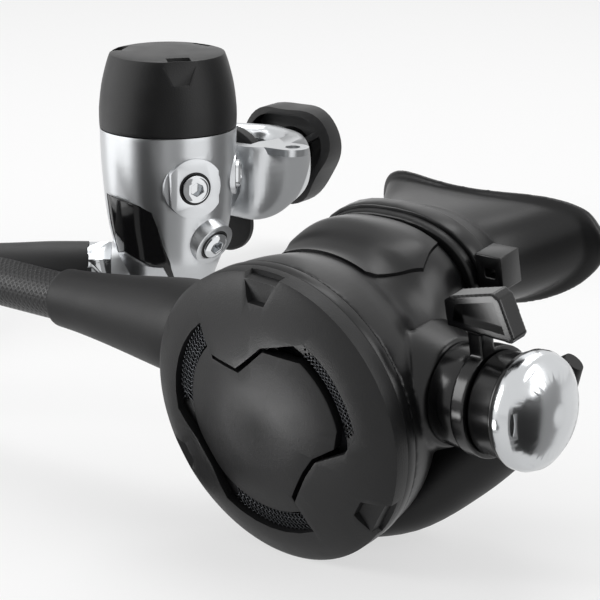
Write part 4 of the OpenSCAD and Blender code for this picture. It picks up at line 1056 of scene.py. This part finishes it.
def housing_shell():
    """The hollow housing with its bosses, the raised field, the airway and the exhaust's ports."""
    bosses = (
        [(0, -BARREL_END), (12.9, -BARREL_END), (BOSS_R, 9 - BARREL_END), (0, 9 - BARREL_END)],
        [(0, BARREL_END - 9), (BOSS_R, BARREL_END - 9), (12.9, BARREL_END), (0, BARREL_END)],
    )
    seat = Matrix.Translation(SEAT)
    shell = fused(
        "Housing_shell", 0.6, 5, sections(HOUSING, 0), sections(TUBE, 0), moved(seat, rod(SEAT_R, 0, 13)),
        *(moved(BARREL_AXIS, turned(boss, 96)) for boss in bosses), moved(ALONG_Y, rod(33.9, 6.6, 11, 96)),
    )
    field = solid("Field", sections(HOUSING, 0.7))
    shaped(field, loft([[(x, y, z) for x, y in FIELD] for z in (15, 45)]), "INTERSECT")
    shaped(shell, field, "UNION")
    chamber = [(0, 5), (CAVITY_R, 5), (CAVITY_R, 17.5), (12, 32.5), (0, 32.5)]
    cuts = [
        moved(ALONG_Y, turned(chamber, 96)), airway(0, 27, 60),
        moved(BARREL_AXIS, rod(BARREL_R + 0.02, -50, 50)), moved(seat, rod(1.7, -1, 7, 24)),
    ]
    for turn in range(0, 360, 60):
        at = Matrix.Rotation(math.radians(turn), 4, "Z") @ Matrix.Translation((6.4, 0, 0))
        cuts.append(moved(seat @ at, rod(2.6, -1, 19, 32)))
    for cut in cuts:
        shaped(shell, cut)
    return shell


def lever_moulding():
    """A ring round the sleeve, a neck and a broad paddle with a sunk face."""
    lever = fused(
        "Lever", 0.3, 5, loft([[(x, y, z) for x, z in PADDLE] for y in (-4.6, 0.6)]),
        block((44.5, -4, 11), (48.5, 0.6, 21)), moved(ALONG_X, rod(13.4, 44.5, 48.5, 96)),
    )
    shaped(lever, loft([[(x, y, z) for x, z in PADDLE_FACE] for y in (-6, -2.8)]))
    shaped(lever, moved(ALONG_X, rod(10.66, 30, 60, 96)))
    return lever


def gauze_strands():
    """Two slanting strands across the opening's rim, which pass over and under each other."""
    strands, edges = [], []
    last = GAUZE_POINTS - 1
    for slant in (-1, 1):
        first = len(strands)
        for i in range(GAUZE_POINTS):
            t = i / last
            r = mix(OPENING_R - 4.5, OPENING_R + 0.4, t)
            a = slant * mix(-0.09, 0.09, t)
            weave = slant * 0.1 * math.sin(t * math.pi * 7)
            lift = mix(-1.98, -1.42, max(r - OPENING_R + 2.4, 0) / 2.8) + weave
            strands.append((r * math.cos(a), lift, r * math.sin(a)))
        edges += [(first + i, first + i + 1) for i in range(last)]
    return strands, edges


def exhaust_tee():
    """A hollow horn to each side, open at the back of its tips."""
    tee = solid("Tee", tee_form(0, 0))
    shaped(tee, shaped(solid("Hollow", tee_form(2, 7)), block((-47, -10, -60), (47, 70, 20)), "INTERSECT"))
    for cut in (
        moved(Matrix.Translation(SEAT), rod(SEAT_R + SLACK, -2.2, 38)),
        sections(HOUSING, SLACK),
        sections(TUBE, SLACK),
        moved(BARREL_AXIS, rod(BOSS_R + SLACK, -BARREL_END - 1, BARREL_END + 1, 96)),
    ):
        shaped(tee, cut)
    return tee


class REGULATOR_OT_second_stage(bpy.types.Operator):
    """Housing, cover, grille, button and the controls on the right"""

    bl_idname = "regulator.second_stage"
    bl_label = "Second stage"

    def execute(self, context):
        black, smoke = MATERIALS["housing_abs"], MATERIALS["smoke"]
        slot = slot_of("housing")
        piece("housing_shell", housing_shell(), IN_SECOND, black, nodes=["housing"], slot=slot, sharp=40)
        dressed("retaining_ring", black, 0.3)
        dressed("front_cover", MATERIALS["cover_nylon"], 0.5, 3)
        dressed("cover_grille", MATERIALS["cap_nylon"], 0)
        dressed("purge_button", MATERIALS["cover_nylon"], 0.8, 3)
        dressed("barrel_sleeve", smoke, 0.4)
        dressed("adjustment_knob", MATERIALS["pearl_chrome"], 0.6, 3)
        node = "venturi_lever"
        at_lever = IN_SECOND @ Matrix.Translation((0, *BARREL))
        piece("lever_moulding", lever_moulding(), at_lever, smoke, body_of(node), [node], slot_of(node))
        strands, edges = gauze_strands()
        step = GAUZE_SPACING / OPENING_R
        for number, (middle, half) in enumerate(GAUZE_WINDOWS):
            gauze = grown(
                "Gauze", gauze_tree(), MATERIALS["gauze"], strands, edges, Wire=0.2, Step=-step,
                Start=math.radians(half - middle), Count=int(math.radians(2 * half) / step),
            )
            name = f"grille_gauze_{number + 1}"
            piece(name, gauze, IN_SECOND, MATERIALS["gauze"], slot=slot_of("cover_grille"), sharp=0)
        rubber = MATERIALS["rubber"]
        piece("soft_exhaust_tee", exhaust_tee(), IN_SECOND, rubber, nodes=["exhaust_tee"], sharp=40)
        return {"FINISHED"}


# How far the flange's ends bend back and up, and its half width
FLANGE_BACK, FLANGE_UP, FLANGE_HALF = 10.5, 4.4, 34


def flange_and_boot():
    """The mouthpiece's closed shapes: boot, flange, what joins them, and the tabs that are bitten."""
    xs = (-34, -32.6, -29, -24, -18, -12, -6, 0, 6, 12, 18, 24, 29, 32.6, 34)
    line = []
    for x in xs:
        bend = (abs(x) / FLANGE_HALF) ** 2
        line.append((x, 77 + FLANGE_BACK * bend, 15 + FLANGE_UP * bend))
    flange = loft(along(smooth(line, 3), smooth(FLANGE + FLANGE[-2::-1], 3), 40, 0.85))
    # The boot widens in a hollow curve to the back of the flange
    rings = []
    for t in [i / 16 for i in range(17)]:
        rings.append([
            (x, mix(60, 75.8, t) + FLANGE_BACK * t * (x / FLANGE_HALF) ** 2,
             mix(17.1, 15, t) + z + FLANGE_UP * t * (x / FLANGE_HALF) ** 2)
            for x, z in oval(21.4 + 11.2 * t**1.9, 13.6 + 0.5 * t, 0.88, 96)
        ])
    shapes = [sections(BOOT, 0, 96, 4), flange, loft(rings)]
    tab_section = smooth([(5, 2.6), (5.2, 2.2), (5, 2.6), (3, 2)], 3)
    for side in (-1, 1):
        route = ((20, 76, 15), (19.4, 86, 15), (18.6, 96, 14.6), (18, 100, 14.4))
        tab = smooth([(side * x, y, z) for x, y, z in route], 3)
        shapes.append(loft(along(tab, tab_section, 24)))
        # Cross bars that the teeth hold
        for y in (89, 93.5):
            bar = [Vector((side * x, y, 14.8)) for x in (15.2, 17, 19, 21, 22.8)]
            shapes.append(loft(along(bar, [(0.9, 2.7), (1, 3.1), (1, 3.2), (1, 3.1), (0.9, 2.7)], 14)))
    return shapes


class REGULATOR_OT_mouthpiece(bpy.types.Operator):
    """Mouthpiece and its tie"""

    bl_idname = "regulator.mouthpiece"
    bl_label = "Mouthpiece"

    def execute(self, context):
        soft = fused("Mouthpiece", 0.5, 5, *flange_and_boot())
        cuts = sections(TUBE, 0.1, 96, 0), sections(HOUSING, 0.1), tie_ring(2, 0, 0.15), airway(1, 50, 102)
        for cut in cuts:
            shaped(soft, cut)
        piece("soft_mouthpiece", soft, IN_SECOND, MATERIALS["silicone"], nodes=["mouthpiece"], sharp=40)
        dressed("mouthpiece_tie", MATERIALS["housing_abs"], 0.3)
        return {"FINISHED"}


class REGULATOR_OT_works(bpy.types.Operator):
    """The works inside the two stages"""

    bl_idname = "regulator.works"
    bl_label = "Inner works"

    def execute(self, context):
        plain = {
            "steel": (
                "spring_adjuster valve_lifter inlet_valve diaphragm_plate demand_lever valve_barrel "
                "adjuster_spindle valve_poppet"
            ),
            "chrome": "orifice_seat",
            "cap_nylon": "venturi_vane",
        }
        for material, nodes in plain.items():
            for node in nodes.split():
                dressed(node, MATERIALS[material], 0)

        coil, steel = coil_tree(), MATERIALS["steel"]
        at_main = IN_ROW @ Matrix.Translation((0, 0, 50.4))
        at_purge = IN_SECOND @ Matrix.Translation((0, -2.9, 0)) @ ALONG_Y
        at_poppet = AT_BARREL @ Matrix.Translation((0, 0, 9.4))
        # Each spring's node, place, radius, wire, turns and height, and the joint and stroke that press it
        for node, place, radius, wire, turns, height, joint, stroke in (
            ("main_spring", at_main, 9.5, 2.6, 5, 15.9, None, 0),
            ("purge_spring", at_purge, 7.3, 0.9, 3, 4.7, "purge_press", 3.05),
            ("poppet_spring", at_poppet, 3.1, 0.8, 6, 10.0, "poppet_slide", 1.05),
        ):
            name = node + "_coil"
            sizes = {"Radius": radius, "Wire": wire / 2, "Turns": float(turns), "Rise": height - wire}
            spring = grown(name, coil, steel, **sizes)
            spring = piece(name, spring, place, steel, body_of(node), [node], slot_of(node), 0)
            if joint:
                seat, lead = place @ Vector((0, 0, height)), place @ Vector((0, 0, 0))
                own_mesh(spring)
                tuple(seat)

        # Soft sheets and seals: each node's name, outline, sides and place
        rubber, sheet = MATERIALS["rubber"], MATERIALS["clear_silicone"]
        main = [
            (0, 46), (16.3, 46), (16.3, 48), (11.9, 48), (11.5, 48.6), (11.5, 49.8), (11.1, 50.2), (0, 50.2),
        ]
        front = ((15.9, 5.6), (19, 5.6), (22, 7.4), (26, 7.4), (29, 5.6), (33.8, 5.4))
        back = ((33.8, 6.55), (29.6, 6.5), (26.4, 8.3), (21.6, 8.3), (18.6, 6.5), (15.9, 6.5))
        sheets = eased(front, 6) + eased(back, 6)
        flap = [
            (0, -1.3), (9.8, -1.3), (10.4, -0.8), (10.6, -0.2), (3, -0.35), (1.5, -0.2), (1.5, 3.4),
            (1.1, 3.8), (0, 3.8),
        ]
        for node, shape, place, material in (
            ("main_diaphragm", turned(main, 96), IN_ROW, rubber),
            ("diaphragm", turned(sheets + sheets[:1], 128), IN_SECOND @ ALONG_Y, sheet),
            ("exhaust_valve", turned(flap, 96), IN_SECOND @ Matrix.Translation(SEAT), sheet),
        ):
            piece("soft_" + node, shape, place, material, body_of(node), [node])
        seal = ring(4.12, 0.4, height=BARREL_END - 0.6)
        piece("spindle_ring", seal, AT_BARREL, rubber, body_of("spindle_seal"), ["spindle_seal"])
        return {"FINISHED"}


class REGULATOR_PT_panel(bpy.types.Panel):
    """Lists the set's pieces"""

    bl_idname = "REGULATOR_PT_panel"
    bl_label = "Regulator set"
    bl_space_type = "VIEW_3D"
    bl_region_type = "UI"
    bl_category = "Regulator"

    def draw(self, context):
        looks = context.scene.regulator_looks
        for key in RegulatorLooks.__annotations__:
            self.layout.prop(looks, key)
        for operator in OPERATORS:
            self.layout.operator(operator.bl_idname)


OPERATORS = (
    REGULATOR_OT_stage,
    REGULATOR_OT_fittings,
    REGULATOR_OT_hose,
    REGULATOR_OT_first_stage,
    REGULATOR_OT_yoke,
    REGULATOR_OT_second_stage,
    REGULATOR_OT_mouthpiece,
    REGULATOR_OT_works,
)
CLASSES = (RegulatorLooks, *OPERATORS, REGULATOR_PT_panel)


def register():
    for item in CLASSES:
        bpy.utils.register_class(item)
    bpy.types.Scene.regulator_looks = bpy.props.PointerProperty(type=RegulatorLooks)


def unregister():
    del bpy.types.Scene.regulator_looks
    for item in reversed(CLASSES):
        bpy.utils.unregister_class(item)


def main():
    register()
    MATERIALS.update(make_materials())
    for operator in OPERATORS:
        group, name = operator.bl_idname.split(".")
        getattr(getattr(bpy.ops, group), name)()
    lists = [[list(c) for c in box] for box in (CAD_BOX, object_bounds())]


if __name__ == "__main__":
    main()
